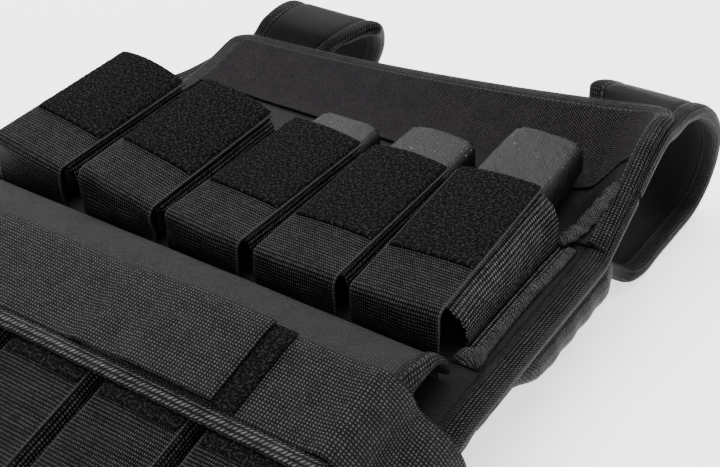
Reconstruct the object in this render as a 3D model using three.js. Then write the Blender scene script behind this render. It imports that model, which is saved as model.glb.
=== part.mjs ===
// Weighted training vest, lying on its back with its neck end towards +Y.
// Lengths are in millimetres and +Z is up. The front panel carries two rows of five
// webbing pockets with cast-iron bars in them. The flap of the upper row is thrown open
// over the shoulder straps, the flap of the lower row is closed under the waist belt.

import * as THREE from 'three';

const { lerp, smoothstep, degToRad } = THREE.MathUtils;

// Clearance between pieces that touch
const gap = 0.35;

// Columns of the wide sheets, without those beside the last pocket
const wideColumns = 7;

// Webbing pockets
const rowPockets = 5;
const pocketPitch = 60;
const pocketLength = 109;
const rowPitch = 158;
const backRowBottom = 18;
const webThick = 1.6;
const stripWidth = 50;
const stripThick = 1.6;
const stripBend = 8;
const stripFoot = 4;
const loopWidth = 47;
const loopThick = 1.8;
const loopLength = 74;
const frontFlange = 16;

// Panels: each is as wide as its pockets and a margin
const frontMargin = 56;
const frontTop = 150;
const frontBottom = -175;
const frontCorner = 34;
const backMargin = 16;
const backTop = 140;
const backBottom = -152;
const backCorner = 30;
const backShift = 10;
const panelThick = 9;
const torsoGap = 12;

// Edge binding of the panels and the flaps
const bindingWidth = 8;
const bindingProud = 1;
const flapBindingWidth = 7;

// Cast-iron bars
const barWidth = 45.5;
const barDepth = 22;
const barLength = 104;
const barCorner = 7;
const barBevel = 2;
const barSetback = 3.6;

// The lower row hangs down from the bend of the front panel
const bendStart = -12;
const bendLength = 34;
const droopAngle = degToRad(13);

// Flaps
const flapThick = 2.4;
const topFlapMargin = 15;
const topFlapShift = 18.5;
const topFlapRoot = 117;
const topFlapReach = 93;
const topFlapCorner = 17;
const flapBindingProud = 0.9;
const hookThick = 1.2;
const hookInset = 35;
const rowSpace = 3;
const rowFlapMargin = 12;
const rowFlapRoot = -7;
const rowFlapReach = 94;
const rowFlapCorner = 12;
const rowFlapSag = 9;
const backFlapMargin = 0;
const backFlapRoot = 9;
const backFlapReach = 78;

// Waist belt
const beltWidth = 49;
const beltThick = 2;
const beltTop = -44;
const beltOverEnd = 86;
const beltHookLength = 60;
const beltHookReach = 12;
const beltHookThick = 1.4;
const beltUnderEnd = 6;
const beltStep = 14;
const beltTuck = 34;
const beltSide = 7;
const beltTurn = 3;

// Shoulder straps
const strapWidth = 62;
const strapThick = 9;
const strapDip = 1.2;
const strapDipLength = 20;
const leftRoot = 0.34;
const leftLeave = 0.7;
const strapReach = 122;
const strapHeight = 110;

// The fabric beside the right shoulder stands up from the panel
const shoulderStart = 113;
const shoulderSlope = 0.58;
const shoulderRamp = 13;
const shoulderLow = 9;
const shoulderHigh = 40;
const shoulderSide = 1.7;
const shoulderEase = 1.6;

// Each pocket of the upper row has its own place in the pitch. Columns: shift across and
// along as shares of the pitch, turn in degrees, extra height of the front at its left, right
// and mouth as shares of the bar's depth, and how far the bar is drawn out as a share of its
// length.
const upperRow = [
  { across: -0.09, along: 0.02, turn: -0.3, left: 0.4, right: 0.02, mouth: 0.1, drawn: 0.0 },
  { across: 0.06, along: -0.01, turn: -0.5, left: 0.42, right: 0.0, mouth: 0.12, drawn: 0.0 },
  { across: 0.03, along: 0.0, turn: 2.2, left: 0.05, right: 0.0, mouth: 0.06, drawn: 0.28 },
  { across: 0.02, along: 0.0, turn: 0.0, left: 0.0, right: 0.05, mouth: 0.12, drawn: 0.41 },
  { across: -0.02, along: 0.03, turn: -1.6, left: 0.0, right: 0.12, mouth: 0.28, drawn: 0.58 },
];
const plainPocket = { across: 0, along: 0, turn: 0, left: 0, right: 0, mouth: 0, drawn: 0 };
const plainRow = Array.from({ length: rowPockets }, () => plainPocket);

// Under face of the back panel from its neck end down. Columns: share of its length from the
// bottom, and height as a share of the pocket depth.
const backProfile = [
  { along: 1.0, height: 1.0 },
  { along: 0.57, height: 1.0 },
  { along: 0.47, height: 0.93 },
  { along: 0.36, height: 0.62 },
  { along: 0.26, height: 0.36 },
  { along: 0.17, height: 0.2 },
  { along: 0.1, height: 0.06 },
  { along: 0.0, height: 0.03 },
];

// Outer face of each shoulder strap past the open flap. Columns: reach as a share of
// strapReach from the panel's top, height as a share of strapHeight, and sideways shift of
// the middle and widening as shares of strapWidth.
const rightLoop = [
  { reach: 0.59, height: 0.88, shift: -0.01, widen: 0.05 },
  { reach: 0.71, height: 0.84, shift: 0.04, widen: 0.0 },
  { reach: 0.84, height: 0.73, shift: 0.07, widen: 0.0 },
  { reach: 0.94, height: 0.58, shift: 0.08, widen: 0.0 },
  { reach: 0.99, height: 0.42, shift: 0.06, widen: 0.0 },
  { reach: 1.0, height: 0.26, shift: 0.03, widen: 0.0 },
  { reach: 0.95, height: 0.12, shift: 0.0, widen: 0.0 },
  { reach: 0.84, height: 0.03, shift: -0.03, widen: 0.0 },
  { reach: 0.66, height: 0.012, shift: -0.05, widen: 0.0 },
  { reach: 0.46, height: 0.012, shift: -0.06, widen: 0.0 },
  { reach: 0.29, height: 0.016, shift: -0.06, widen: 0.0 },
  { reach: 0.16, height: 0.05, shift: -0.09, widen: 0.0 },
  { reach: 0.05, height: 0.14, shift: -0.16, widen: 0.0 },
];
const leftLoop = [
  { reach: 0.58, height: 0.72, shift: 0.85, widen: 0.1 },
  { reach: 0.68, height: 0.78, shift: 0.98, widen: 0.18 },
  { reach: 0.77, height: 0.77, shift: 1.04, widen: 0.2 },
  { reach: 0.85, height: 0.67, shift: 1.0, widen: 0.18 },
  { reach: 0.9, height: 0.53, shift: 0.94, widen: 0.14 },
  { reach: 0.91, height: 0.38, shift: 0.86, widen: 0.08 },
  { reach: 0.88, height: 0.22, shift: 0.76, widen: 0.04 },
  { reach: 0.78, height: 0.08, shift: 0.66, widen: 0.0 },
  { reach: 0.62, height: 0.015, shift: 0.6, widen: 0.0 },
  { reach: 0.45, height: 0.03, shift: 0.56, widen: 0.0 },
  { reach: 0.28, height: 0.1, shift: 0.54, widen: 0.0 },
];

// Rise of the closed flap from its root seam onto the pockets. Columns: share of the way
// from the root to the pocket mouths, and height as a share of the pocket depth.
const rowFlapRise = [
  { along: 0.0, height: 0.03 },
  { along: 0.03, height: 0.3 },
  { along: 0.1, height: 0.52 },
  { along: 0.26, height: 0.7 },
  { along: 0.6, height: 0.88 },
  { along: 1.0, height: 1.0 },
];

// Rise of the flap over the back pockets, from its root seam past their mouths onto their
// fronts. Columns: share of the flap's reach, and height as a share of the pocket depth.
const backFlapRise = [
  { along: 0.0, height: 0.0 },
  { along: 0.02, height: 0.6 },
  { along: 0.05, height: 0.9 },
  { along: 0.1, height: 1.0 },
  { along: 1.0, height: 1.0 },
];

// Widths
const rowWidth = rowPockets * pocketPitch;
const frontWidth = rowWidth + frontMargin;
const backWidth = rowWidth + backMargin;
const topFlapWidth = rowWidth + topFlapMargin;
const rowFlapWidth = rowWidth + rowFlapMargin;
const backFlapWidth = rowWidth + backFlapMargin;

// Heights worked out from the layers of a pocket
const barLift = gap;
const bandInner = barLift + barDepth + gap;
const bandOuter = bandInner + webThick;
const stripUnder = bandOuter + gap;
const stripOver = stripUnder + stripThick;
const loopUnder = stripOver + gap;
const loopOver = loopUnder + loopThick;
const backDepth = stripOver + gap + flapThick;
const frontLevel = backDepth + panelThick + torsoGap + panelThick;
const channelHalf = barWidth / 2 + gap;
const wallHalf = channelHalf + webThick;
const frontHalf = frontWidth / 2 - bindingWidth;
const backHalf = backWidth / 2 - bindingWidth;
const pocketEnd = (rowPockets - 1) / 2 * pocketPitch + wallHalf;

const backFlapStart = Math.max(pocketLength, barSetback + barLength) + backFlapRoot;
const backFlapLength = backFlapStart - pocketLength + backFlapReach;

// Finishes
const finishes = {
  nylon: new THREE.MeshStandardMaterial({ color: 0x1d1d1f, roughness: 0.85, metalness: 0 }),
  webbing: new THREE.MeshStandardMaterial({ color: 0x19191b, roughness: 0.8, metalness: 0 }),
  loop: new THREE.MeshStandardMaterial({ color: 0x161618, roughness: 0.98, metalness: 0 }),
  hook: new THREE.MeshStandardMaterial({ color: 0x1b1a1e, roughness: 0.9, metalness: 0 }),
  binding: new THREE.MeshStandardMaterial({ color: 0x242526, roughness: 0.75, metalness: 0 }),
  iron: new THREE.MeshStandardMaterial({ color: 0x5b5d60, roughness: 0.55, metalness: 0.6 }),
};

// A closed body from points and triangles, turned so that its faces point out
function closedBody(points, faces) {
  const geometry = new THREE.BufferGeometry().setFromPoints(points);
  let volume = 0;
  for (const [a, b, c] of faces) {
    volume += points[a].dot(new THREE.Vector3().crossVectors(points[b], points[c]));
  }
  const turned = volume > 0 ? faces : faces.map(([a, b, c]) => [a, c, b]);
  geometry.setIndex(turned.flat());
  geometry.computeVertexNormals();
  return geometry;
}

// A wall of cloth: a grid of points on one face and the same grid on the other
function clothWall(rows, columns, over, under) {
  const points = [];
  for (const face of [over, under]) {
    for (let j = 0; j <= rows; j += 1) {
      for (let i = 0; i <= columns; i += 1) {
        points.push(face(i, j));
      }
    }
  }
  const count = (rows + 1) * (columns + 1);
  const top = (i, j) => j * (columns + 1) + i;
  const low = (i, j) => count + top(i, j);
  const faces = [];
  const quad = (a, b, c, d) => faces.push([a, b, c], [a, c, d]);
  for (let j = 0; j < rows; j += 1) {
    for (let i = 0; i < columns; i += 1) {
      quad(top(i, j), top(i + 1, j), top(i + 1, j + 1), top(i, j + 1));
      quad(low(i, j), low(i, j + 1), low(i + 1, j + 1), low(i + 1, j));
    }
  }
  for (let i = 0; i < columns; i += 1) {
    quad(top(i, 0), low(i, 0), low(i + 1, 0), top(i + 1, 0));
    quad(top(i + 1, rows), low(i + 1, rows), low(i, rows), top(i, rows));
  }
  for (let j = 0; j < rows; j += 1) {
    quad(top(0, j + 1), low(0, j + 1), low(0, j), top(0, j));
    quad(top(columns, j), low(columns, j), low(columns, j + 1), top(columns, j + 1));
  }
  return closedBody(points, faces);
}

// A body lofted through rings of as many points each, with both ends closed
function lofted(rings, outline) {
  const size = rings[0].length;
  const points = rings.flat();
  const faces = [];
  for (let k = 0; k + 1 < rings.length; k += 1) {
    for (let i = 0; i < size; i += 1) {
      const j = (i + 1) % size;
      faces.push([k * size + i, k * size + j, (k + 1) * size + j]);
      faces.push([k * size + i, (k + 1) * size + j, (k + 1) * size + i]);
    }
  }
  const last = (rings.length - 1) * size;
  const turned = THREE.ShapeUtils.isClockWise(outline);
  for (const [a, b, c] of THREE.ShapeUtils.triangulateShape(outline, [])) {
    const [p, q] = turned ? [c, b] : [b, c];
    faces.push([a, q, p], [last + a, last + p, last + q]);
  }
  return closedBody(points, faces);
}

// Places a value in a table of rows sorted by one column
function tableValue(table, key, column, at) {
  const rising = [...table].sort((a, b) => a[key] - b[key]);
  let k = 0;
  while (k + 2 < rising.length && rising[k + 1][key] < at) {
    k += 1;
  }
  const low = rising[k];
  const high = rising[k + 1];
  const share = THREE.MathUtils.clamp((at - low[key]) / (high[key] - low[key]), 0, 1);
  return lerp(low[column], high[column], share);
}

function ease(value) {
  return smoothstep(value, 0, 1);
}

// The sheet of the open flap inside its binding
const topFlapHalf = topFlapWidth / 2 - flapBindingWidth - gap;
const topFlapLength = topFlapReach - flapBindingWidth - gap;
const topFlapRound = topFlapCorner - flapBindingWidth;

// Upper face of the front panel without its shoulders
function droop(y) {
  const past = Math.max(0, bendStart - y);
  const slope = Math.tan(droopAngle);
  if (past < bendLength) {
    return -slope * past * past / (2 * bendLength);
  }
  return -slope * (past - bendLength / 2);
}

// What the open flap lies on: the panel, the shoulders and the sagging space between them
function cover(x, y) {
  const beside = ease((x - pocketEnd) / shoulderRamp);
  const near = Math.max(0, y - shoulderStart) * shoulderSlope * beside;
  const edge = topFlapShift - topFlapWidth / 2;
  const across = THREE.MathUtils.clamp((x - edge) / topFlapWidth, 0, 1);
  const far = lerp(shoulderLow, shoulderHigh, across ** shoulderSide);
  const past = Math.max(0, y - frontTop) / (topFlapRoot + topFlapLength - frontTop);
  return frontLevel + droop(y) + lerp(near, far, Math.min(1, past ** shoulderEase));
}

function backUnder(y) {
  const along = (y - backBottom) / (backTop - backBottom);
  return backDepth * tableValue(backProfile, 'along', 'height', along);
}

// Rows of a sheet whose last corners are round: distance from its start, and how far its
// sides draw in there
function roundedRows(length, corner, straightSteps, cornerSteps) {
  const rows = [];
  for (let k = 0; k <= straightSteps; k += 1) {
    rows.push({ at: (length - corner) * k / straightSteps, draw: 0 });
  }
  for (let k = 1; k <= cornerSteps; k += 1) {
    const angle = Math.PI / 2 * k / cornerSteps;
    rows.push({
      at: length - corner + corner * Math.sin(angle),
      draw: corner * (1 - Math.cos(angle)),
    });
  }
  return rows;
}

// Path of a binding round the two sides and the far edge of such a sheet. Each point has its
// place across and along, and the way out from the sheet.
function edgePath(rows, length, half, corner, edgeSteps) {
  const right = rows.map(({ at, draw }) => {
    const sine = corner > 0 ? Math.max(0, at - length + corner) / corner : 0;
    return { x: half - draw, at, out: [Math.sqrt(Math.max(0, 1 - sine * sine)), sine] };
  });
  for (let k = 1; k < edgeSteps / 2; k += 1) {
    right.push({ x: lerp(half - corner, 0, 2 * k / edgeSteps), at: length, out: [0, 1] });
  }
  const left = right.map((p) => ({ x: -p.x, at: p.at, out: [-p.out[0], p.out[1]] })).reverse();
  return [...right, { x: 0, at: length, out: [0, 1] }, ...left];
}

// A folded tape along such a path, with a flat inner side that faces the sheet
const tapeSection = [[-1, -0.8], [-1, 0.8], [0.2, 1], [1, 0.45], [1, -0.45], [0.2, -1]];
function boundEdge(path, width, height, place) {
  const rings = path.map((p) => tapeSection.map(([side, up]) => {
    const reach = gap + width / 2 + side * width / 2;
    return place(p.x + p.out[0] * reach, p.at + p.out[1] * reach, up * height / 2);
  }));
  return lofted(rings, tapeSection.map(([side, up]) => new THREE.Vector2(side, up)));
}

// Front panel: straight at the neck, round at its bottom corners
const frontLength = frontTop - frontBottom - bindingWidth;
function frontPoint(x, at, up) {
  const y = frontTop - at;
  return new THREE.Vector3(x, y, cover(x, Math.min(y, frontTop)) + up);
}
function frontPanel() {
  const rows = panelRows();
  const shares = panelColumns();
  const across = (i, j) => shares[i] * (frontHalf - rows[j].draw);
  const over = (i, j) => frontPoint(across(i, j), rows[j].at, 0);
  const under = (i, j) => frontPoint(across(i, j), rows[j].at, -panelThick);
  return clothWall(rows.length - 1, shares.length - 1, over, under);
}

// Rows of the front panel from its bottom up: under the open flap they are the flap's own
function panelRows() {
  const corner = frontCorner - bindingWidth;
  const lower = roundedRows(frontLength, corner, 18, 3).filter((row) => (
    frontTop - row.at < shoulderStart - gap));
  const upper = shoulderRows().map((y) => ({ at: frontTop - y, draw: 0 })).reverse();
  return [...upper, { at: frontTop - shoulderStart, draw: 0 }, ...lower].reverse();
}

// Heights along the vest that the panel and the flap on it share
function shoulderRows() {
  const steps = 4;
  return Array.from({ length: steps + 1 }, (_, k) => lerp(topFlapRoot, frontTop, k / steps));
}

// Places across where the sheets bend up beside the last pocket
function rampPlaces() {
  return [0, 0.35, 0.65, 1].map((share) => pocketEnd + share * shoulderRamp);
}

function panelColumns() {
  const even = Array.from({ length: wideColumns }, (_, k) => (
    lerp(-1, pocketEnd / frontHalf, k / wideColumns)));
  return [...even, ...rampPlaces().map((x) => x / frontHalf), 1];
}

function frontBinding() {
  const rows = panelRows().reverse();
  const path = edgePath(rows, frontLength, frontHalf, frontCorner - bindingWidth, 8);
  const height = panelThick + 2 * bindingProud;
  const place = (x, at, up) => frontPoint(x, at, up - height / 2);
  return boundEdge(path, bindingWidth, height, place);
}

// Back panel: it lies on its pockets and slopes down to the floor below them
const backLength = backTop - backBottom - bindingWidth;
function backPoint(x, at, up) {
  return new THREE.Vector3(x + backShift, backTop - at, backUnder(backTop - at) + up);
}
function backRows() {
  return roundedRows(backLength, backCorner - bindingWidth, 16, 3);
}

function backPanel() {
  const rows = backRows();
  const columns = 6;
  const across = (i, j) => lerp(-1, 1, i / columns) * (backHalf - rows[j].draw);
  const over = (i, j) => backPoint(across(i, j), rows[j].at, panelThick);
  const under = (i, j) => backPoint(across(i, j), rows[j].at, 0);
  return clothWall(rows.length - 1, columns, over, under);
}

function backBinding() {
  const path = edgePath(backRows(), backLength, backHalf, backCorner - bindingWidth, 4);
  const height = panelThick + 2 * bindingProud;
  return boundEdge(path, bindingWidth, height, (x, at, up) => backPoint(x, at, up + panelThick / 2));
}

// A place in a pocket, from its own middle and bottom, in the frame of its row
function pocketPlace(index, spot, x, y) {
  const turn = degToRad(spot.turn);
  const middle = (index - (rowPockets - 1) / 2 + spot.across) * pocketPitch;
  return [
    middle + x * Math.cos(turn) + y * Math.sin(turn),
    spot.along * pocketPitch + y * Math.cos(turn) - x * Math.sin(turn),
  ];
}

// Where a bar starts in its pocket, and how steeply it must lie so that its drawn-out end
// clears the open flap under it
function barStart(spot) {
  return barSetback + spot.drawn * barLength;
}

function barSlope(index, spot) {
  const start = barStart(spot);
  const layers = flapThick + hookThick + 3 * gap;
  let slope = 0;
  for (let y = topFlapRoot; y < start + barLength + spot.along * pocketPitch; y += 1) {
    for (const x of [-barWidth / 2, 0, barWidth / 2]) {
      const [px, py] = pocketPlace(index, spot, x, y);
      const layer = py > topFlapRoot + hookInset - rowSpace ? layers : layers - hookThick - gap;
      const need = cover(px, py) - frontLevel + layer - barLift;
      slope = Math.max(slope, need / (y - start));
    }
  }
  return slope;
}

// Extra height of a pocket's front at a place in it
function slack(index, spot, x, y) {
  const across = THREE.MathUtils.clamp(x / wallHalf, -1, 1) / 2 + 0.5;
  const along = THREE.MathUtils.clamp(y / pocketLength, 0, 1);
  const lean = spot.drawn > 0 ? barSlope(index, spot) * (pocketLength - barStart(spot)) : 0;
  const mouth = Math.max(spot.mouth * barDepth, lean);
  return barDepth * lerp(spot.left, spot.right, across) + mouth * along;
}

// Half of a channel's outline, from the foot of its right wall to the middle of its top
function channelSide(half, top, radius, foot, arcSteps) {
  const points = [[half, foot]];
  for (let k = 0; k <= arcSteps; k += 1) {
    const angle = Math.PI / 2 * k / arcSteps;
    points.push([half - radius + radius * Math.cos(angle), top - radius + radius * Math.sin(angle)]);
  }
  return points;
}

// The band that makes the side walls of a whole row: one webbing over all its bars
function pocketBand(row, { arc, stations, flange }) {
  const radius = barCorner + gap;
  const outer = channelSide(wallHalf, bandOuter, radius + webThick, gap + webThick, arc);
  const inner = channelSide(channelHalf, bandInner, radius, gap, arc);
  const rings = [];
  for (let k = 0; k <= stations; k += 1) {
    const y = lerp(stripBend, pocketLength, k / stations);
    const over = [];
    const under = [];
    row.forEach((spot, index) => {
      for (const [side, list] of [[outer, over], [inner, under]]) {
        const whole = [...side.map(([x, h]) => [-x, h]), ...[...side].reverse()];
        for (const [x, h] of whole) {
          const [px, py] = pocketPlace(index, spot, x, y);
          const lifted = h > gap + webThick ? slack(index, spot, x, y) : 0;
          list.push(new THREE.Vector3(px, py, h + lifted));
        }
      }
    });
    const first = over[0];
    const last = over[over.length - 1];
    const start = new THREE.Vector3(first.x - flange, first.y, 0);
    const end = new THREE.Vector3(last.x + flange, last.y, 0);
    rings.push([
      start.clone().setZ(gap + webThick), ...over, end.clone().setZ(gap + webThick),
      end.clone().setZ(gap), ...under.reverse(), start.clone().setZ(gap),
    ]);
  }
  const outline = rings[0].map((p) => new THREE.Vector2(p.x, p.z));
  return lofted(rings, outline);
}

// The webbing strip down a pocket's front, bent round its bottom onto the panel
function stripPath(index, spot, x, offset, steps) {
  const bend = stripBend - offset;
  const top = stripOver - offset;
  const points = [[pocketLength, top + slack(index, spot, x, pocketLength)]];
  points.push([pocketLength * 0.5, top + slack(index, spot, x, pocketLength * 0.5)]);
  for (let k = 0; k <= steps; k += 1) {
    const angle = Math.PI / 2 * k / steps;
    const y = stripBend - bend * Math.sin(angle);
    points.push([y, top - bend + bend * Math.cos(angle) + slack(index, spot, x, stripBend)]);
  }
  const foot = offset > 0 ? gap : gap + stripThick;
  points.push([offset, foot], [-stripFoot, foot]);
  return points;
}

function pocketStrip(index, spot, columns, steps) {
  const rowsOf = (offset, x) => stripPath(index, spot, x, offset, steps);
  const across = (i) => lerp(-stripWidth / 2, stripWidth / 2, i / columns);
  const face = (offset) => (i, j) => {
    const [y, h] = rowsOf(offset, across(i))[j];
    const [px, py] = pocketPlace(index, spot, across(i), y);
    return new THREE.Vector3(px, py, h);
  };
  return clothWall(rowsOf(0, 0).length - 1, columns, face(0), face(stripThick));
}

function loopPatch(index, spot) {
  const face = (height) => (i, j) => {
    const x = lerp(-loopWidth / 2, loopWidth / 2, i / 2);
    const y = pocketLength - gap - loopLength * (1 - j / 2);
    const [px, py] = pocketPlace(index, spot, x, y);
    return new THREE.Vector3(px, py, height + slack(index, spot, x, y));
  };
  return clothWall(2, 2, face(loopOver), face(loopUnder));
}

// A bar with round long edges, drawn out of its pocket and leaning on its lower end
function ironBar(index, spot, bevel) {
  const halfWidth = barWidth / 2 - bevel;
  const halfDepth = barDepth / 2 - bevel;
  const corner = barCorner - bevel;
  const shape = new THREE.Shape();
  shape.moveTo(halfWidth, halfDepth - corner);
  shape.absarc(halfWidth - corner, halfDepth - corner, corner, 0, Math.PI / 2);
  shape.absarc(corner - halfWidth, halfDepth - corner, corner, Math.PI / 2, Math.PI);
  shape.absarc(corner - halfWidth, corner - halfDepth, corner, Math.PI, 1.5 * Math.PI);
  shape.absarc(halfWidth - corner, corner - halfDepth, corner, 1.5 * Math.PI, 2 * Math.PI);
  shape.closePath();
  const geometry = new THREE.ExtrudeGeometry(shape, {
    depth: barLength - 2 * bevel, steps: 1, curveSegments: 2,
    bevelEnabled: bevel > 0, bevelThickness: bevel, bevelSize: bevel, bevelSegments: 1,
  });
  geometry.translate(0, barDepth / 2, bevel);
  geometry.rotateX(Math.PI / 2);
  geometry.rotateZ(Math.PI);
  geometry.rotateX(spot.drawn > 0 ? Math.atan(barSlope(index, spot)) : 0);
  const [px, py] = pocketPlace(index, spot, 0, barStart(spot));
  geometry.rotateZ(-degToRad(spot.turn));
  geometry.translate(px, py, barLift);
  return geometry;
}

// One row: band, strips, patches and bars, in a frame that stands on the panel
function pocketRow(name, row, detail) {
  const group = new THREE.Group();
  const add = (part, geometry, finish) => group.add(piece(part, geometry, finish));
  add(`${name}_band`, pocketBand(row, detail), finishes.webbing);
  row.forEach((spot, index) => {
    const number = index + 1;
    add(`${name}_strip_${number}`, pocketStrip(index, spot, detail.columns, detail.bend), finishes.webbing);
    if (detail.loops) {
      add(`${name}_loop_${number}`, loopPatch(index, spot), finishes.loop);
    }
    add(`${name}_bar_${number}`, ironBar(index, spot, detail.bevel), finishes.iron);
  });
  return group;
}

function piece(name, geometry, finish) {
  const mesh = new THREE.Mesh(geometry, finish);
  mesh.name = name;
  return mesh;
}

// Top flap, thrown back over the shoulders with its hook tape up
function topFlapPoint(x, at, up) {
  const px = x + topFlapShift;
  const y = topFlapRoot + at;
  return new THREE.Vector3(px, y, cover(px, y) + gap + up);
}

function topFlapRows() {
  const shared = shoulderRows().map((y) => ({ at: y - topFlapRoot, draw: 0 }));
  const rest = roundedRows(topFlapLength, topFlapRound, 7, 3);
  const beyond = rest.filter((row) => row.at > hookInset + rowSpace);
  return [...shared, { at: hookInset, draw: 0 }, ...beyond];
}

function topFlapColumns() {
  const local = (x) => x - topFlapShift;
  const even = Array.from({ length: wideColumns }, (_, k) => (
    lerp(-topFlapHalf, local(pocketEnd), k / wideColumns)));
  return [...even, ...rampPlaces().map(local), topFlapHalf];
}

// A cloth on the open flap that stays inside its outline
function flapLayer(rows, inset, low, high) {
  const places = topFlapColumns();
  const across = (i, j) => {
    const most = topFlapHalf - rows[j].draw - inset;
    return THREE.MathUtils.clamp(places[i], -most, most);
  };
  const over = (i, j) => topFlapPoint(across(i, j), rows[j].at, high);
  const under = (i, j) => topFlapPoint(across(i, j), rows[j].at, low);
  return clothWall(rows.length - 1, places.length - 1, over, under);
}

function topFlap() {
  return flapLayer(topFlapRows(), 0, 0, flapThick);
}

// The wide hook tape on the flap's inner face
function topFlapHook() {
  const rows = topFlapRows().filter((row) => row.at >= hookInset && row.at < topFlapLength - gap);
  const low = flapThick + gap;
  return flapLayer(rows, 2 * gap, low, low + hookThick);
}

function topFlapBinding() {
  const path = edgePath(topFlapRows(), topFlapLength, topFlapHalf, topFlapRound, 12);
  const height = flapThick + 2 * flapBindingProud;
  const place = (x, at, up) => topFlapPoint(x, at, up + height / 2);
  return boundEdge(path, flapBindingWidth, height, place);
}

// Row flap: its outer face climbs from the root seam onto the lower pockets and lies down
// their fronts. Each point has its place along and its height over the panel.
const rowStack = (loopOver + gap + flapThick) / Math.cos(droopAngle);
const lowerRowBottom = -rowPitch;
const lowerRowTop = lowerRowBottom + pocketLength * Math.cos(droopAngle);
const rowFlapHalf = rowFlapWidth / 2 - flapBindingWidth - gap;
const rowFlapLength = rowFlapReach - flapBindingWidth - gap;
const rowFlapRound = rowFlapCorner - flapBindingWidth;
function rowFlapHeight(at) {
  const along = Math.min(1, at / (rowFlapRoot - lowerRowTop));
  const y = rowFlapRoot - at;
  return frontLevel + droop(y) + rowStack * tableValue(rowFlapRise, 'along', 'height', along);
}

// The flap's ends hang down past the outer pockets
function rowFlapEnd(x, at) {
  const past = (Math.abs(x) - pocketEnd) / (rowFlapWidth / 2 - pocketEnd);
  return -rowFlapSag * ease(past) * ease(at / (rowFlapRoot - lowerRowTop));
}

function rowFlapPoint(x, at, up) {
  const step = 1;
  const fall = (rowFlapHeight(at + step) - rowFlapHeight(Math.max(0, at - step))) / (2 * step);
  const normal = new THREE.Vector3(0, fall, 1).normalize();
  const point = new THREE.Vector3(x, rowFlapRoot - at, rowFlapHeight(at) + rowFlapEnd(x, at));
  return point.addScaledVector(normal, up);
}

function rowFlapRows() {
  const rise = rowFlapRoot - lowerRowTop;
  const climb = rowFlapRise.map((row) => ({ at: row.along * rise, draw: 0 }));
  const rest = roundedRows(rowFlapLength, rowFlapRound, 4, 2).filter((row) => row.at > rise + 1);
  return [...climb, ...rest];
}

function rowFlap() {
  const rows = rowFlapRows();
  const inner = pocketEnd / rowFlapHalf;
  const shares = [-1, -(1 + inner) / 2, -inner, -inner / 2, 0, inner / 2, inner, (1 + inner) / 2, 1];
  const across = (i, j) => shares[i] * (rowFlapHalf - rows[j].draw);
  const over = (i, j) => rowFlapPoint(across(i, j), rows[j].at, 0);
  const under = (i, j) => rowFlapPoint(across(i, j), rows[j].at, -flapThick);
  return clothWall(rows.length - 1, shares.length - 1, over, under);
}

function rowFlapBinding() {
  const start = rowFlapRoot - lowerRowTop;
  const rows = rowFlapRows().filter((row) => row.at >= start).map((row) => (
    { at: row.at - start, draw: row.draw }));
  const path = edgePath(rows, rowFlapLength - start, rowFlapHalf, rowFlapRound, 8);
  const height = flapThick + 2 * flapBindingProud;
  const place = (x, at, up) => rowFlapPoint(x, at + start, up + height / 2 - flapThick);
  return boundEdge(path, flapBindingWidth, height, place);
}

// Waist belt: a tape laid along a path of [x, height over the flap] and then down a side
function beltFace(x, y, up) {
  return new THREE.Vector3(x, y, rowFlapHeight(rowFlapRoot - y) + up);
}

function beltTape(path, thick) {
  const end = beltTop - beltWidth;
  const across = [beltTop, lowerRowTop, lerp(lowerRowTop, end, 0.5), end];
  const place = (offset) => (i, j) => {
    const y = across[i];
    const here = path(y);
    const before = here[Math.max(0, j - 1)];
    const after = here[Math.min(here.length - 1, j + 1)];
    const along = new THREE.Vector3().subVectors(after, before).setY(0).normalize();
    const normal = new THREE.Vector3(-along.z, 0, along.x).multiplyScalar(offset);
    return here[j].clone().add(normal);
  };
  return clothWall(path(beltTop).length - 1, across.length - 1, place(thick), place(0));
}

// The way down a side, from the flap's end to the back panel. Columns: how far out, from the
// flap's end to the belt's widest place, and height, from under the back panel to the flap.
const sideWay = [
  { out: 0.2, height: 0.93 },
  { out: 0.7, height: 0.8 },
  { out: 0.96, height: 0.62 },
  { out: 1.0, height: 0.42 },
  { out: 0.93, height: 0.2 },
  { out: 0.7, height: 0.05 },
];
function beltSidePath(y, side) {
  const flapEnd = rowFlapWidth / 2;
  const widest = frontWidth / 2 + beltSide;
  const high = rowFlapHeight(rowFlapRoot - y) - rowFlapSag;
  const low = backUnder(y) - gap - beltThick;
  const points = sideWay.map(({ out, height }) => (
    new THREE.Vector3(side * lerp(flapEnd, widest, out), y, lerp(low, high, height))));
  const panelEdge = side * backWidth / 2 + backShift;
  points.push(new THREE.Vector3(panelEdge + side * beltTurn, y, low));
  points.push(new THREE.Vector3(panelEdge - side * beltTuck, y, low));
  return points;
}

function beltEndPoints(y, side) {
  const flapEnd = rowFlapWidth / 2;
  const binding = 2 * flapBindingProud + gap;
  return [
    beltFace(side * (pocketEnd - beltStep), y, gap),
    beltFace(side * pocketEnd, y, binding),
    beltFace(side * flapEnd, y, binding - rowFlapSag * 0.7),
  ];
}

function beltUnder() {
  const path = (y) => [
    beltFace(beltUnderEnd, y, gap),
    beltFace(lerp(beltUnderEnd, pocketEnd, 0.5), y, gap),
    ...beltEndPoints(y, 1),
    ...beltSidePath(y, 1),
  ];
  return beltTape(path, beltThick);
}

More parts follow.
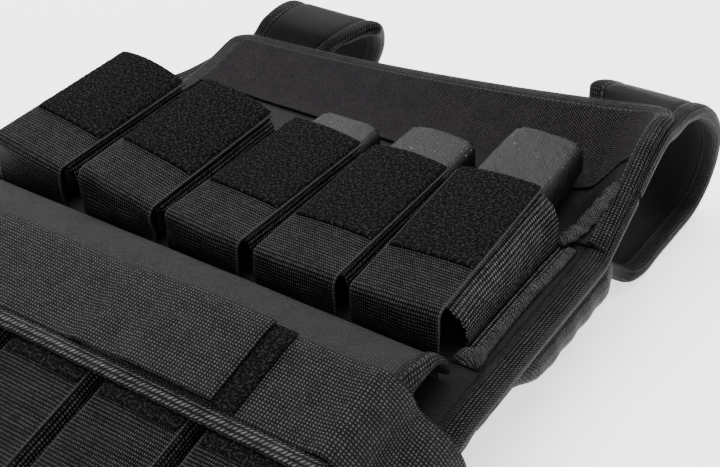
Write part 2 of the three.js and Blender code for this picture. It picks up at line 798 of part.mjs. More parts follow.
function beltOver() {
  const low = gap;
  const onUnder = 2 * gap + beltThick;
  const onHook = onUnder + gap + beltHookThick;
  const hookStart = beltOverEnd + beltHookReach - beltHookLength;
  const path = (y) => [
    beltFace(beltOverEnd, y, onHook),
    beltFace(hookStart - gap, y, onHook),
    beltFace(hookStart - gap - beltStep, y, onUnder),
    beltFace(beltUnderEnd - gap, y, onUnder),
    beltFace(beltUnderEnd - gap - beltStep, y, low),
    beltFace(-pocketEnd / 2, y, low),
    ...beltEndPoints(y, -1),
    ...beltSidePath(y, -1),
  ];
  return beltTape(path, -beltThick);
}

// The strip of hook tape that shows past the end of the upper belt
function beltHook() {
  const end = beltOverEnd + beltHookReach;
  const rise = 2 * gap + beltThick;
  const path = (y) => [end - beltHookLength, end].map((x) => beltFace(x, y, rise));
  return beltTape(path, beltHookThick);
}

// Shoulder strap: its first stretch lies under the open flap, then it loops over to the back
function strapStations(side, loop) {
  const half = strapWidth / 2;
  const start = side * (frontWidth / 2 - half);
  const under = topFlapRows().map((row) => topFlapRoot + row.at).filter((y) => y > frontTop + 1);
  const leave = topFlapRoot + topFlapReach + rowSpace;
  const stations = [frontTop + gap, ...under, leave].map((y) => {
    const share = side > 0 ? 0 : lerp(leftRoot, leftLeave, (y - frontTop) / (leave - frontTop));
    return { y, lies: true, middle: start + share * strapWidth, half };
  });
  for (const row of loop) {
    stations.push({
      y: frontTop + row.reach * strapReach,
      z: row.height * strapHeight,
      middle: start + row.shift * strapWidth,
      half: half * (1 + row.widen),
    });
  }
  const back = side * (backWidth / 2 - half) + backShift;
  stations.push({ y: backTop + gap, z: backDepth, middle: back, half });
  return stations;
}

function strapColumns(side) {
  if (side < 0) {
    return [-1, -0.5, 0, 0.5, 1];
  }
  const middle = frontWidth / 2 - strapWidth / 2;
  const local = (x) => (x - middle) / (strapWidth / 2);
  return [-1, (local(pocketEnd) - 1) / 2, ...rampPlaces().map(local), 1];
}

function shoulderStrap(side, loop) {
  const stations = strapStations(side, loop);
  const shares = strapColumns(side);
  const dip = (y) => strapDip * ease((y - frontTop) / strapDipLength);
  const level = (station, x) => (station.lies ? cover(x, station.y) - dip(station.y) : station.z);
  const place = (i, j) => {
    const station = stations[j];
    const x = station.middle + shares[i] * station.half;
    return new THREE.Vector3(x, station.y, level(station, x));
  };
  const inward = stations.map((station, j) => {
    const before = stations[Math.max(0, j - 1)];
    const after = stations[Math.min(stations.length - 1, j + 1)];
    const rise = level(after, after.middle) - level(before, before.middle);
    return new THREE.Vector3(0, rise, before.y - after.y).normalize();
  });
  inward[0].set(0, 0, -1);
  inward[stations.length - 1].set(0, 0, 1);
  const under = (i, j) => place(i, j).addScaledVector(inward[j], strapThick);
  return clothWall(stations.length - 1, shares.length - 1, place, under);
}

// Flap of the back pockets, closed: this is what the vest lies on
function backFlap() {
  const rows = backFlapRise.map(({ along, height }) => [along, height]);
  const half = backFlapWidth / 2;
  const face = (offset) => (i, j) => {
    const [along, height] = rows[j];
    const x = lerp(-half, half, i / 2);
    const y = backFlapStart - along * backFlapLength;
    const before = rows[Math.max(0, j - 1)];
    const after = rows[Math.min(rows.length - 1, j + 1)];
    const run = (before[0] - after[0]) * backFlapLength;
    const rise = (after[1] - before[1]) * (stripOver + gap);
    const normal = new THREE.Vector3(0, rise, -run).normalize().multiplyScalar(offset);
    return new THREE.Vector3(x, y, gap + height * stripOver).add(normal);
  };
  return clothWall(rows.length - 1, 2, face(0), face(flapThick));
}

const vest = new THREE.Group();
vest.add(piece('front_panel', frontPanel(), finishes.nylon));
vest.add(piece('front_binding', frontBinding(), finishes.binding));
vest.add(piece('back_panel', backPanel(), finishes.nylon));
vest.add(piece('back_binding', backBinding(), finishes.binding));

const openDetail = {
  arc: 3, stations: 3, columns: 3, bend: 4, loops: true, flange: frontFlange, bevel: barBevel,
};
const closedDetail = { ...openDetail, stations: 2, bend: 3, bevel: 0 };
const upper = pocketRow('upper', upperRow, openDetail);
upper.position.z = frontLevel;
const lower = pocketRow('lower', plainRow, closedDetail);
lower.position.set(0, lowerRowBottom, frontLevel + droop(lowerRowBottom));
lower.rotation.x = droopAngle;
const backFlange = backHalf - pocketEnd - gap;
const backDetail = {
  arc: 3, stations: 1, columns: 1, bend: 3, loops: false, flange: backFlange, bevel: 0,
};
const back = pocketRow('back', plainRow, backDetail);
back.add(piece('back_flap', backFlap(), finishes.nylon));
back.position.set(backShift, backRowBottom, backDepth);
back.rotation.y = Math.PI;
vest.add(upper, lower, back);

vest.add(piece('top_flap', topFlap(), finishes.nylon));
vest.add(piece('top_flap_hook', topFlapHook(), finishes.hook));
vest.add(piece('top_flap_binding', topFlapBinding(), finishes.binding));
vest.add(piece('row_flap', rowFlap(), finishes.nylon));
vest.add(piece('row_flap_binding', rowFlapBinding(), finishes.binding));
vest.add(piece('belt_under', beltUnder(), finishes.webbing));
vest.add(piece('belt_over', beltOver(), finishes.webbing));
vest.add(piece('belt_hook', beltHook(), finishes.hook));
vest.add(piece('strap_right', shoulderStrap(1, rightLoop), finishes.nylon));
vest.add(piece('strap_left', shoulderStrap(-1, leftLoop), finishes.nylon));

// The origin is under the middle of the vest, on the surface that it lies on
const bounds = new THREE.Box3().setFromObject(vest);
const middle = bounds.getCenter(new THREE.Vector3());
vest.position.set(-middle.x, -middle.y, -bounds.min.z);

export default vest;
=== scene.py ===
"""Dressed model of a weighted training vest that lies on its back.

Sizes are in millimetres in the vest's own frame, and every mesh is written in metres in the
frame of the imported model.
"""

import logging
import math
from dataclasses import dataclass
from enum import Enum
from typing import Callable, Sequence

import bpy
import mathutils
import numpy as np
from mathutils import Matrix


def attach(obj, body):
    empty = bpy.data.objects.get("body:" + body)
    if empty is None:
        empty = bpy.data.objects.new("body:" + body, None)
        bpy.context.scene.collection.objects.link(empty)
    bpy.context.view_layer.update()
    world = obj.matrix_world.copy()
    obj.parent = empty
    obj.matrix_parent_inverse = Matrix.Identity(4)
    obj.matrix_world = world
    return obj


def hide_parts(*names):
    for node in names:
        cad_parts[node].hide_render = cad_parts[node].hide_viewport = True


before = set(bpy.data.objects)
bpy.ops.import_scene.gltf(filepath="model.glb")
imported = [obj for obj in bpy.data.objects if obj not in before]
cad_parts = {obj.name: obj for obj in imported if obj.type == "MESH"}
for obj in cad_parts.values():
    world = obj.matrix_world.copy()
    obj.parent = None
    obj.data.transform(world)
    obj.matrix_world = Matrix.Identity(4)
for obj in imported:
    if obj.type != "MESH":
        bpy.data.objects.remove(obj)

LOG = logging.getLogger("vest")
MM = 0.001
VEST_ORIGIN = np.array([0.0, -48.325, 0.05])

Array = np.ndarray
Place = Callable[[Array, Array], Array]
Rows = Sequence[tuple[float, ...]]
Triple = tuple[float, float, float]
Piece = bpy.types.Object
Socket = bpy.types.NodeSocket
RING = np.linspace(0, 2 * math.pi, 17)[:-1]


# Shared sizes and curves


@dataclass(frozen=True)
class Sizes:
    """Sizes that several pieces share, in millimetres."""

    gap: float = 0.35
    pockets: int = 5
    pitch: float = 60.0
    pocket_length: float = 109.0
    row_pitch: float = 158.0
    web: float = 1.6
    bar_width: float = 45.5
    bar_depth: float = 22.0
    bar_length: float = 104.0
    bar_setback: float = 3.6
    hook_thick: float = 1.2
    bar_bevel: float = 5.6
    bar_arc: float = 11.0
    corner: float = 7.35
    panel_thick: float = 9.0
    front_width: float = 356.0
    front_top: float = 150.0
    front_bottom: float = -175.0
    front_corner: float = 34.0
    back_width: float = 316.0
    back_top: float = 140.0
    back_bottom: float = -152.0
    back_corner: float = 30.0
    back_shift: float = 10.0
    back_row_bottom: float = 18.0
    binding: float = 12.0
    flap_binding: float = 9.5
    lap: float = 1.6
    flap_thick: float = 2.4
    bend_start: float = -12.0
    bend_length: float = 34.0
    droop_angle: float = math.radians(13.0)
    flap_width: float = 315.0
    flap_shift: float = 18.5
    flap_root: float = 117.0
    flap_reach: float = 93.0
    shoulder_start: float = 113.0
    shoulder_slope: float = 0.58
    shoulder_ramp: float = 26.0
    shoulder_low: float = 9.0
    shoulder_high: float = 40.0

    @property
    def band_top(self) -> float:
        """Height of a row's side webbing over the panel."""
        return 3 * self.gap + self.bar_depth + self.web - self.gap

    @property
    def strip_over(self) -> float:
        """Height of a pocket's front strip over the panel."""
        return self.band_top + self.gap + self.web

    @property
    def loop_over(self) -> float:
        """Height of a pocket's pile patch over the panel."""
        return self.strip_over + self.gap + 1.8

    @property
    def back_depth(self) -> float:
        """Height of the back panel's under face."""
        return self.strip_over + self.gap + self.flap_thick

    @property
    def front_level(self) -> float:
        """Height of the front panel's upper face."""
        return self.back_depth + 2 * self.panel_thick + 12.0

    @property
    def wall_half(self) -> float:
        """Half of a pocket's width over its side webbing."""
        return self.bar_width / 2 + self.gap + self.web

    @property
    def pocket_end(self) -> float:
        """Outer side of the last pocket."""
        return (self.pockets - 1) / 2 * self.pitch + self.wall_half


S = Sizes()


def ease(value: Array | float) -> Array:
    """Smooth step from 0 to 1."""
    t = np.clip(value, 0.0, 1.0)
    return t * t * (3 - 2 * t)


def mix(low: Array | float, high: Array | float, share: Array | float) -> Array:
    """Straight mix of two values."""
    return low + (high - low) * share


def droop(y: Array | float) -> Array:
    """Fall of the front panel past its bend.

    Args:
        y: Place along the vest.

    Returns:
        Height below the panel's level, as a negative number.
    """
    past = np.maximum(0.0, S.bend_start - np.asarray(y, float))
    slope = math.tan(S.droop_angle)
    near = -slope * past * past / (2 * S.bend_length)
    return np.where(past < S.bend_length, near, -slope * (past - S.bend_length / 2))


def cover(x: Array, y: Array) -> Array:
    """Height of what the open flap lies on: panel, shoulders and the space between.

    Args:
        x: Place across the vest.
        y: Place along the vest.

    Returns:
        Height over the floor of the back panel's frame.
    """
    beside = ease((x - S.pocket_end + 2.0) / S.shoulder_ramp)
    near = np.maximum(0.0, y - S.shoulder_start) * S.shoulder_slope * beside
    edge = S.flap_shift - S.flap_width / 2
    across = np.clip((x - edge) / S.flap_width, 0.0, 1.0)
    far = mix(S.shoulder_low, S.shoulder_high, across**1.7)
    length = S.flap_reach - S.flap_binding - S.gap
    past = np.maximum(0.0, y - S.front_top) / (S.flap_root + length - S.front_top)
    return S.front_level + droop(y) + mix(near, far, np.minimum(1.0, past**1.6))


def spline(points: Array, count: int) -> Array:
    """Smooth curve through points.

    Args:
        points: Array of (points, ..., 3).
        count: Number of samples.

    Returns:
        Array of (count, ..., 3).
    """
    last = len(points) - 1
    at = np.linspace(0, last, count)
    k = np.minimum(at.astype(int), last - 1)
    t = (at - k).reshape((-1,) + (1,) * (points.ndim - 1))
    p0, p1 = points[np.maximum(k - 1, 0)], points[k]
    p2, p3 = points[k + 1], points[np.minimum(k + 2, last)]
    return 0.5 * (2 * p1 + (p2 - p0) * t + (2 * p0 - 5 * p1 + 4 * p2 - p3) * t**2
                  + (3 * p1 - p0 - 3 * p2 + p3) * t**3)


def table(rows: Rows, at: Array) -> Array:
    """Value from a table of (place, value) rows."""
    keys, values = np.array(sorted(rows)).T
    return np.interp(at, keys, values)


def spaced(length: float, rounding: float, step: float) -> Array:
    """Places along a side, close together at its round ends."""
    turn = rounding * (1 - np.cos(np.linspace(0, math.pi / 2, 4)))[:-1]
    inner = np.linspace(rounding, length - rounding, max(2, round((length - 2 * rounding) / step) + 1))
    return np.concatenate([turn, inner, length - turn[::-1]])


def swell(at: Array, length: float, rounding: float) -> Array:
    """Share of the full thickness near a round end."""
    near = np.clip(np.minimum(at, length - at) / rounding, 0.0, 1.0)
    return 0.12 + 0.88 * np.sqrt(1 - (1 - near) ** 2)


def rims(across: Array, along: Array, rounding: float) -> Array:
    """Share of the full thickness over a sheet's grid, less near its four edges."""
    return swell(across, across[-1], rounding)[None, :] * swell(along, along[-1], rounding)[:, None]


def run_length(points: Array) -> Array:
    """Distance along a line of points from its first."""
    return np.concatenate([[0], np.cumsum(np.linalg.norm(np.diff(points, axis=0), axis=-1))])


def turned(x: Array, y: Array, angle: float) -> tuple[Array, Array]:
    """Places turned clockwise by an angle in radians."""
    return x * math.cos(angle) + y * math.sin(angle), y * math.cos(angle) - x * math.sin(angle)


def wobble(x: Array, y: Array, scale: float, seed: float) -> Array:
    """Slow, even unevenness from -1 to 1, the same in every run."""
    a = np.sin(x / scale + seed * 1.7) * np.cos(y / scale * 1.13 + seed * 0.6)
    b = np.sin(x / scale * 2.3 + y / scale * 1.7 + seed * 2.9)
    c = np.cos(y / scale * 3.1 - x / scale * 0.9 + seed * 4.3)
    return 0.5 * a + 0.3 * b + 0.2 * c


# Mesh makers


def new_piece(name: str, points: Array, faces: list[tuple[int, ...]], uv: Array) -> Piece:
    """Makes a smooth mesh object from points in millimetres.

    Args:
        name: Name of the piece.
        points: Array of (points, 3) in the vest's frame.
        faces: Faces as point numbers.
        uv: Place of each point on the cloth, in millimetres.

    Returns:
        The new object, at the origin.
    """
    mesh = bpy.data.meshes.new(name)
    mesh.from_pydata(((points + VEST_ORIGIN) * MM).tolist(), [], faces)
    layer = mesh.uv_layers.new(name="cloth")
    corner = np.empty(len(mesh.loops), dtype=np.int32)
    mesh.loops.foreach_get("vertex_index", corner)
    layer.data.foreach_set("uv", uv[corner].astype(np.float32).ravel())
    mesh.shade_smooth()
    piece = bpy.data.objects.new(name, mesh)
    bpy.context.scene.collection.objects.link(piece)
    return piece


def closed_wall(name: str, over: Array, under: Array, uv: Array) -> Piece:
    """Closed body between two grids of points.

    Args:
        name: Name of the piece.
        over: Grid of (rows, columns, 3) on the upper face.
        under: The same grid on the lower face.
        uv: Grid of (rows, columns, 2) in millimetres on the cloth.

    Returns:
        The new object.
    """
    rows, columns = over.shape[:2]
    j, i = np.meshgrid(np.arange(rows - 1), np.arange(columns - 1), indexing="ij")
    a = (j * columns + i).ravel()
    b, c, d = a + 1, a + columns + 1, a + columns
    count = rows * columns
    top = np.stack([a, b, c, d], axis=1)
    low = np.stack([a, d, c, b], axis=1) + count
    ring = np.concatenate([
        np.arange(columns), np.arange(2, rows + 1) * columns - 1,
        np.arange(count - 2, count - columns - 1, -1), np.arange(rows - 2, 0, -1) * columns])
    after = np.roll(ring, -1)
    side = np.stack([after, ring, ring + count, after + count], axis=1)
    faces = np.concatenate([top, low, side])
    points = np.concatenate([over.reshape(-1, 3), under.reshape(-1, 3)])
    middle = points[faces[:, 0]]
    normal = np.cross(points[faces[:, 1]] - middle, points[faces[:, 2]] - middle)
    if np.einsum("ij,ij->", points[faces].mean(axis=1) - points.mean(axis=0), normal) < 0:
        faces = faces[:, ::-1]
    flat = uv.reshape(-1, 2)
    return new_piece(name, points, faces.tolist(), np.concatenate([flat, flat]))


def grid_normals(points: Array) -> Array:
    """Normals of a grid of points, from rows crossed with columns."""
    along = np.gradient(points, axis=0)
    across = np.gradient(points, axis=1)
    normal = np.cross(across, along)
    return normal / np.maximum(np.linalg.norm(normal, axis=2, keepdims=True), 1e-9)


def upward_normals(points: Array) -> Array:
    """Normals of a grid of points, turned so that the first one looks up."""
    normal = grid_normals(points)
    return -normal if normal[0, 0, 2] < 0 else normal


def soft_wall(name: str, middle: Array, uv: Array, thick: Array | float) -> Piece:
    """Cloth wall round a middle surface.

    Args:
        name: Name of the piece.
        middle: Grid of (rows, columns, 3).
        uv: Grid of (rows, columns, 2) in millimetres on the cloth.
        thick: Thickness, as a number or a grid.

    Returns:
        The new object.
    """
    offset = grid_normals(middle) * (np.broadcast_to(thick, middle.shape[:2])[..., None] / 2)
    return closed_wall(name, middle + offset, middle - offset, uv)


def cut_sheet(name: str, place: Place, width: float, length: float, thick: float,
              corner: float = 0.0, rounding: float = 1.0, step: float = 4.0) -> Piece:
    """Sheet cut to a rectangle, with two round corners at its far end.

    Args:
        name: Name of the piece.
        place: Gives the middle surface for places across and along.
        width: Width of the cut.
        length: Length of the cut.
        thick: Thickness.
        corner: Radius of the two far corners.
        rounding: Radius of its edges.
        step: Distance between points.

    Returns:
        The new object.
    """
    across = spaced(width, rounding, step)
    along = spaced(length, rounding, step)
    if corner > 0:
        turn = length - corner * (1 - np.sin(np.linspace(0, math.pi / 2, 9)))
        along = np.unique(np.round(np.concatenate([along[along < length - corner], turn]), 4))
    past = np.clip(along - (length - corner), 0.0, corner)
    draw = corner - np.sqrt(np.maximum(corner**2 - past**2, 0.0))
    v = np.repeat(along[:, None], len(across), axis=1)
    u = (across[None, :] / width * 2 - 1) * (width / 2 - draw[:, None])
    uv = np.stack([u + width / 2, v], axis=2)
    return soft_wall(name, place(u, v), uv, thick * rims(across, along, rounding))


@dataclass(frozen=True)
class EdgeStation:
    """A place on the edge of a sheet, with its way out."""

    across: Array
    along: Array
    out_across: Array
    out_along: Array


def edge_path(start: float, length: float, half: float, corner: float, step: float) -> EdgeStation:
    """Path round two sides and the far edge of a sheet.

    Args:
        start: Where the sides start.
        length: Length of the sheet.
        half: Half of its width.
        corner: Radius of its far corners.
        step: Distance between points.

    Returns:
        Places across and along, and the ways out.
    """
    straight = np.linspace(start, length - corner, max(3, round((length - corner - start) / step)))
    turn = np.linspace(0, math.pi / 2, 8)[1:]
    edge = np.linspace(half - corner, 0, max(3, round((half - corner) / step)))[1:]
    across = np.concatenate([np.full(len(straight), half), half - corner + corner * np.cos(turn), edge])
    along = np.concatenate([straight, length - corner + corner * np.sin(turn),
                            np.full(len(edge), length)])
    out_a = np.concatenate([np.ones(len(straight)), np.cos(turn), np.zeros(len(edge))])
    out_b = np.concatenate([np.zeros(len(straight)), np.sin(turn), np.ones(len(edge))])
    joined = [np.concatenate([part, sign * part[-2::-1]])
              for part, sign in ((across, -1), (along, 1), (out_a, -1), (out_b, 1))]
    return EdgeStation(*joined)


def bound_edge(name: str, path: EdgeStation, width: float, height: float,
               place: Callable[[Array, Array, Array], Array]) -> Piece:
    """Folded tape along the edge of a sheet.

    Args:
        name: Name of the piece.
        path: The edge's path.
        width: Width of the fold.
        height: Height of the fold.
        place: Gives points for places across, along and up.

    Returns:
        The new object.
    """
    side = np.array([-1.0, -1.0, -0.95, -0.4, 0.3, 0.75, 0.97, 0.97, 0.75, 0.3, -0.4, -0.95])
    rise = np.array([-0.7, 0.7, 0.86, 1.0, 0.96, 0.74, 0.3, -0.3, -0.74, -0.96, -1.0, -0.86])
    reach = S.gap + width - (1 - side[None, :]) * (width + S.gap + S.lap) / 2
    x = path.across[:, None] + path.out_across[:, None] * reach
    v = path.along[:, None] + path.out_along[:, None] * reach
    rings = place(x, v, np.broadcast_to(rise[None, :] * height / 2, x.shape))
    return closed_tube(name, rings)


def closed_tube(name: str, rings: Array) -> Piece:
    """Closed tube through rings of points, with a cloth map round and along it."""
    count, size = rings.shape[:2]
    seam = np.concatenate([rings, rings[:, :1]], axis=1)
    around = np.cumsum(np.linalg.norm(np.diff(seam, axis=1), axis=2), axis=1)
    steps = np.linalg.norm(np.diff(rings, axis=0), axis=2).mean(axis=1)
    along = np.concatenate([[0], np.cumsum(steps)])
    faces = []
    for k in range(count - 1):
        for i in range(size):
            n = (i + 1) % size
            faces.append((k * size + i, k * size + n, (k + 1) * size + n, (k + 1) * size + i))
    faces += [tuple(range(size))[::-1], tuple(range((count - 1) * size, count * size))]
    points = rings.reshape(-1, 3)
    one, two, three = points[np.array([face[:3] for face in faces[:-2]])].transpose(1, 0, 2)
    ring_middle = np.repeat(rings.mean(axis=1), size, axis=0)[: len(one)]
    if np.einsum("ij,ij->", one - ring_middle, np.cross(two - one, three - one)) < 0:
        faces = [face[::-1] for face in faces]
    uv = np.stack([around, np.broadcast_to(along[:, None], around.shape)], axis=2).reshape(-1, 2)
    return new_piece(name, points, faces, uv)


# Shader helpers


class Wires:
    """Adds nodes to a tree and joins them."""

    def __init__(self, tree: bpy.types.NodeTree) -> None:
        """Keeps the tree."""
        self.tree = tree

    def put(self, kind: str, values: dict | None = None, **settings: object) -> bpy.types.Node:
        """Adds a node.

        Args:
            kind: Blender's name for the node.
            values: Socket name or number to a value or another socket.
            settings: Properties of the node.

        Returns:
            The new node.
        """
        node = self.tree.nodes.new(kind)
        for key, value in settings.items():
            setattr(node, key, value)
        for key, value in (values or {}).items():
            if isinstance(value, bpy.types.NodeSocket):
                self.tree.links.new(value, node.inputs[key])
            else:
                node.inputs[key].default_value = value
        return node

    def math(self, operation: str, *values: object) -> Socket:
        """Adds a math node and returns its value."""
        node = self.put("ShaderNodeMath", dict(enumerate(values)), operation=operation)
        return node.outputs[0]

    def plus(self, one: Socket, other: object) -> Socket:
        """Adds two values."""
        return self.math("ADD", one, other)

    def times(self, one: Socket, other: object) -> Socket:
        """Multiplies two values."""
        return self.math("MULTIPLY", one, other)

    def fit(self, value: Socket, factor: object, offset: object) -> Socket:
        """Multiplies a value and adds an offset."""
        return self.math("MULTIPLY_ADD", value, factor, offset)

    def aside(self, value: Socket, middle: object) -> Socket:
        """Distance of a value from a middle."""
        return self.math("ABSOLUTE", self.math("SUBTRACT", value, middle))

    def vector(self, operation: str, one: Socket, other: object) -> Socket:
        """Adds a vector math node and returns its vector."""
        key = "Scale" if operation == "SCALE" else 1
        return self.put("ShaderNodeVectorMath", {0: one, key: other}, operation=operation).outputs[0]

    def cloth(self) -> Socket:
        """Place on the cloth, in millimetres."""
        return self.put("ShaderNodeUVMap", uv_map="cloth").outputs[0]

    def noise(self, vector: Socket, scale: float, detail: float = 2.0, rough: float = 0.5) -> Socket:
        """Adds a noise texture and returns its value."""
        node = self.put("ShaderNodeTexNoise",
                        {"Vector": vector, "Scale": scale, "Detail": detail, "Roughness": rough})
        return node.outputs[0]

    def ramp(self, value: Socket, low: float, high: float) -> Socket:
        """Maps a value from low and high to 0 and 1."""
        node = self.put("ShaderNodeMapRange", {"Value": value, "From Min": low, "From Max": high})
        return node.outputs[0]

    def blend(self, share: Socket | float, low: object, high: object) -> Socket:
        """Mixes two colours."""
        node = self.put("ShaderNodeMix", {"Factor": share}, data_type="RGBA")
        for socket, value in ((node.inputs[6], low), (node.inputs[7], high)):
            if isinstance(value, bpy.types.NodeSocket):
                self.tree.links.new(value, socket)
            else:
                socket.default_value = (*value, 1.0)
        return node.outputs[2]

    def surface(self, colour: Socket, rough: Socket, relief: Socket, depth: float,
                strength: float = 1.0, gloss: float = 0.08, sheen: float = 0.0) -> None:
        """Adds the bump, shader and output that end a material.

        Args:
            colour: Base colour.
            rough: Roughness.
            relief: Height of the bump.
            depth: Depth of the bump in millimetres.
            strength: Strength of the bump.
            gloss: Specular level.
            sheen: Sheen weight.
        """
        bump = self.put("ShaderNodeBump", {"Height": relief, "Strength": strength, "Distance": depth * MM})
        shader = self.put("ShaderNodeBsdfPrincipled",
                          {"Base Color": colour, "Roughness": rough, "Normal": bump.outputs[0]})
        shader.inputs["Sheen Weight"].default_value = sheen
        shader.inputs["Sheen Roughness"].default_value = 0.6
        shader.inputs["Specular IOR Level"].default_value = gloss
        self.put("ShaderNodeOutputMaterial", {"Surface": shader.outputs[0]})


def new_material(name: str) -> tuple[bpy.types.Material, Wires]:
    """Makes an empty material, with the wires that fill it."""
    material = bpy.data.materials.new(name)
    material.use_nodes = True
    material.node_tree.nodes.clear()
    return material, Wires(material.node_tree)


def grey(level: float, blue: float | None = None) -> Triple:
    """A grey, or one with its own blue."""
    return level, level, level if blue is None else blue


def yarn_group() -> bpy.types.NodeTree:
    """Node group of yarns that cross: height, a shade for each yarn, and the ribs along the cloth."""
    tree = bpy.data.node_groups.new("yarns", "ShaderNodeTree")
    tree.interface.new_socket("Cloth", in_out="INPUT", socket_type="NodeSocketVector")
    for name in ("Pitch across", "Pitch along", "Stagger", "Slant", "Fold at"):
        tree.interface.new_socket(name, in_out="INPUT", socket_type="NodeSocketFloat")
    for name in ("Height", "Shade", "Rib"):
        tree.interface.new_socket(name, in_out="OUTPUT", socket_type="NodeSocketFloat")
    wires = Wires(tree)
    source = wires.put("NodeGroupInput").outputs
    place = wires.put("ShaderNodeSeparateXYZ", {0: source["Cloth"]}).outputs
    across = wires.aside(place["X"], source["Fold at"])
    column = wires.math("DIVIDE", across, source["Pitch across"])
    number = wires.math("FLOOR", column)
    odd = wires.times(wires.math("MODULO", number, 2.0), source["Stagger"])
    slant = wires.times(column, source["Slant"])
    row = wires.math("DIVIDE", place["Y"], source["Pitch along"])
    row = wires.plus(row, wires.plus(odd, slant))
    parts = []
    for value in (column, row):
        middle = wires.fit(wires.math("FRACT", value), 2.0, -1.0)
        parts.append(wires.math("SUBTRACT", 1.0, wires.times(middle, middle)))
    height = wires.times(parts[0], parts[1])
    cell = wires.put("ShaderNodeCombineXYZ", {0: number, 1: wires.math("FLOOR", row)}).outputs[0]
    shade = wires.put("ShaderNodeTexWhiteNoise", {"Vector": cell}).outputs["Value"]
    wires.put("NodeGroupOutput", {"Height": height, "Shade": shade, "Rib": parts[0]})
    return tree


@dataclass(frozen=True)
class Weave:
    """A woven finish, with its pitches in millimetres, and painted shade in the gaps between its yarns."""

    name: str
    across: float
    along: float
    dark: Triple
    light: Triple
    stagger: float = 0.0
    slant: float = 0.0
    fold: float = -2000.0
    relief: float = 0.25
    strength: float = 0.9
    roughness: float = 0.6
    gloss: float = 0.08
    # sharp and rib deepen the painted shade in the gaps between yarns and between cords
    sharp: float = 1.0
    rib: float = 0.0
    fuzz: float = 0.0
    stitch_at: float = -1.0
    stitch_pitch: float = 3.2
    selvage: float = 0.0
    bands: float = 0.0
    patchy: float = 0.3

    def build(self, group: bpy.types.NodeTree) -> bpy.types.Material:
        """Makes the material from the shared yarn group."""
        material, wires = new_material(self.name)
        cloth = wires.cloth()
        uneven = wires.put("ShaderNodeTexNoise", {"Vector": cloth, "Scale": 0.35, "Detail": 2.0})
        drift = wires.vector("SUBTRACT", uneven.outputs["Color"], (0.5, 0.5, 0.5))
        drift = wires.vector("SCALE", drift, 0.5 * min(self.across, self.along))
        yarns = wires.put("ShaderNodeGroup", node_tree=group)
        wires.tree.links.new(wires.vector("ADD", cloth, drift), yarns.inputs["Cloth"])
        for key, value in (("Pitch across", self.across), ("Pitch along", self.along),
                           ("Stagger", self.stagger), ("Slant", self.slant), ("Fold at", self.fold)):
            yarns.inputs[key].default_value = value
        height, shade, rib = (yarns.outputs[key] for key in ("Height", "Shade", "Rib"))
        # Colour follows the yarns' height: the yarn pattern is the cloth's own, and the darker gaps
        # between yarns are painted shade
        crown = wires.math("POWER", height, self.sharp)
        # The rib term darkens the grooves between cords further, as painted shade
        if self.rib > 0:
            crown = wires.times(crown, wires.math("POWER", rib, self.rib))
        tone = wires.times(crown, wires.fit(shade, 0.7, 0.65))
        lint = wires.noise(cloth, 2.2, 2.0, 0.7)
        for value, spread in ((wires.noise(cloth, 0.08, 3.0), self.patchy), (lint, 0.3 + self.fuzz)):
            tone = wires.plus(tone, wires.fit(value, spread, -spread / 2))
        relief = wires.plus(height, wires.times(lint, 0.25 + 2.0 * self.fuzz))
        if self.bands > 0:
            band = wires.noise(wires.vector("MULTIPLY", cloth, (0.02, 0.7, 1.0)), 1.0, 1.0)
            tone = wires.times(tone, wires.fit(band, 2 * self.bands, 1 - self.bands))
        place = wires.put("ShaderNodeSeparateXYZ", {0: cloth}).outputs
        if self.selvage > 0:
            off = wires.aside(place["X"], self.selvage)
            tone = wires.fit(wires.ramp(off, self.selvage - 1.5, self.selvage - 0.9), 0.35, tone)
        if self.stitch_at >= 0:
            line = wires.ramp(wires.aside(place["X"], self.stitch_at), 0.75, 0.35)
            phase = wires.math("FRACT", wires.math("DIVIDE", place["Y"], self.stitch_pitch))
            thread = wires.times(line, wires.ramp(wires.aside(phase, 0.5), 0.42, 0.34))
            tone = wires.fit(line, -0.25, wires.fit(thread, 0.85, tone))
            relief = wires.fit(thread, 1.6, wires.fit(line, -1.2, relief))
        colour = wires.blend(wires.ramp(tone, 0.0, 1.0), self.dark, self.light)
        rough = wires.fit(lint, 0.2, self.roughness - 0.1)
        wires.surface(colour, rough, relief, self.relief, self.strength, self.gloss)
        return material


@dataclass(frozen=True)
class Pile:
    """The brushed loops of a hook-and-loop patch."""

    name: str = "loop_pile"
    dark: Triple = (0.0006, 0.0005, 0.0006)
    light: Triple = (0.0228, 0.0188, 0.0226)

    def build(self) -> bpy.types.Material:
        """Makes the material."""
        material, wires = new_material(self.name)
        cloth = wires.cloth()
        curls = wires.noise(cloth, 0.7, 2.0, 0.6)
        tufts = wires.noise(cloth, 0.25, 2.0, 0.6)
        fine = wires.put("ShaderNodeTexVoronoi", {"Vector": cloth, "Scale": 1.0}).outputs["Distance"]
        tone = wires.fit(tufts, 0.6, wires.fit(curls, 7.0, -3.68))
        tone = wires.fit(fine, -0.25, tone)
        colour = wires.blend(wires.ramp(tone, 0.0, 0.75), self.dark, self.light)
        wires.surface(colour, wires.fit(curls, 0.1, 0.85), tone, 0.7, gloss=0.04, sheen=0.01)
        return material


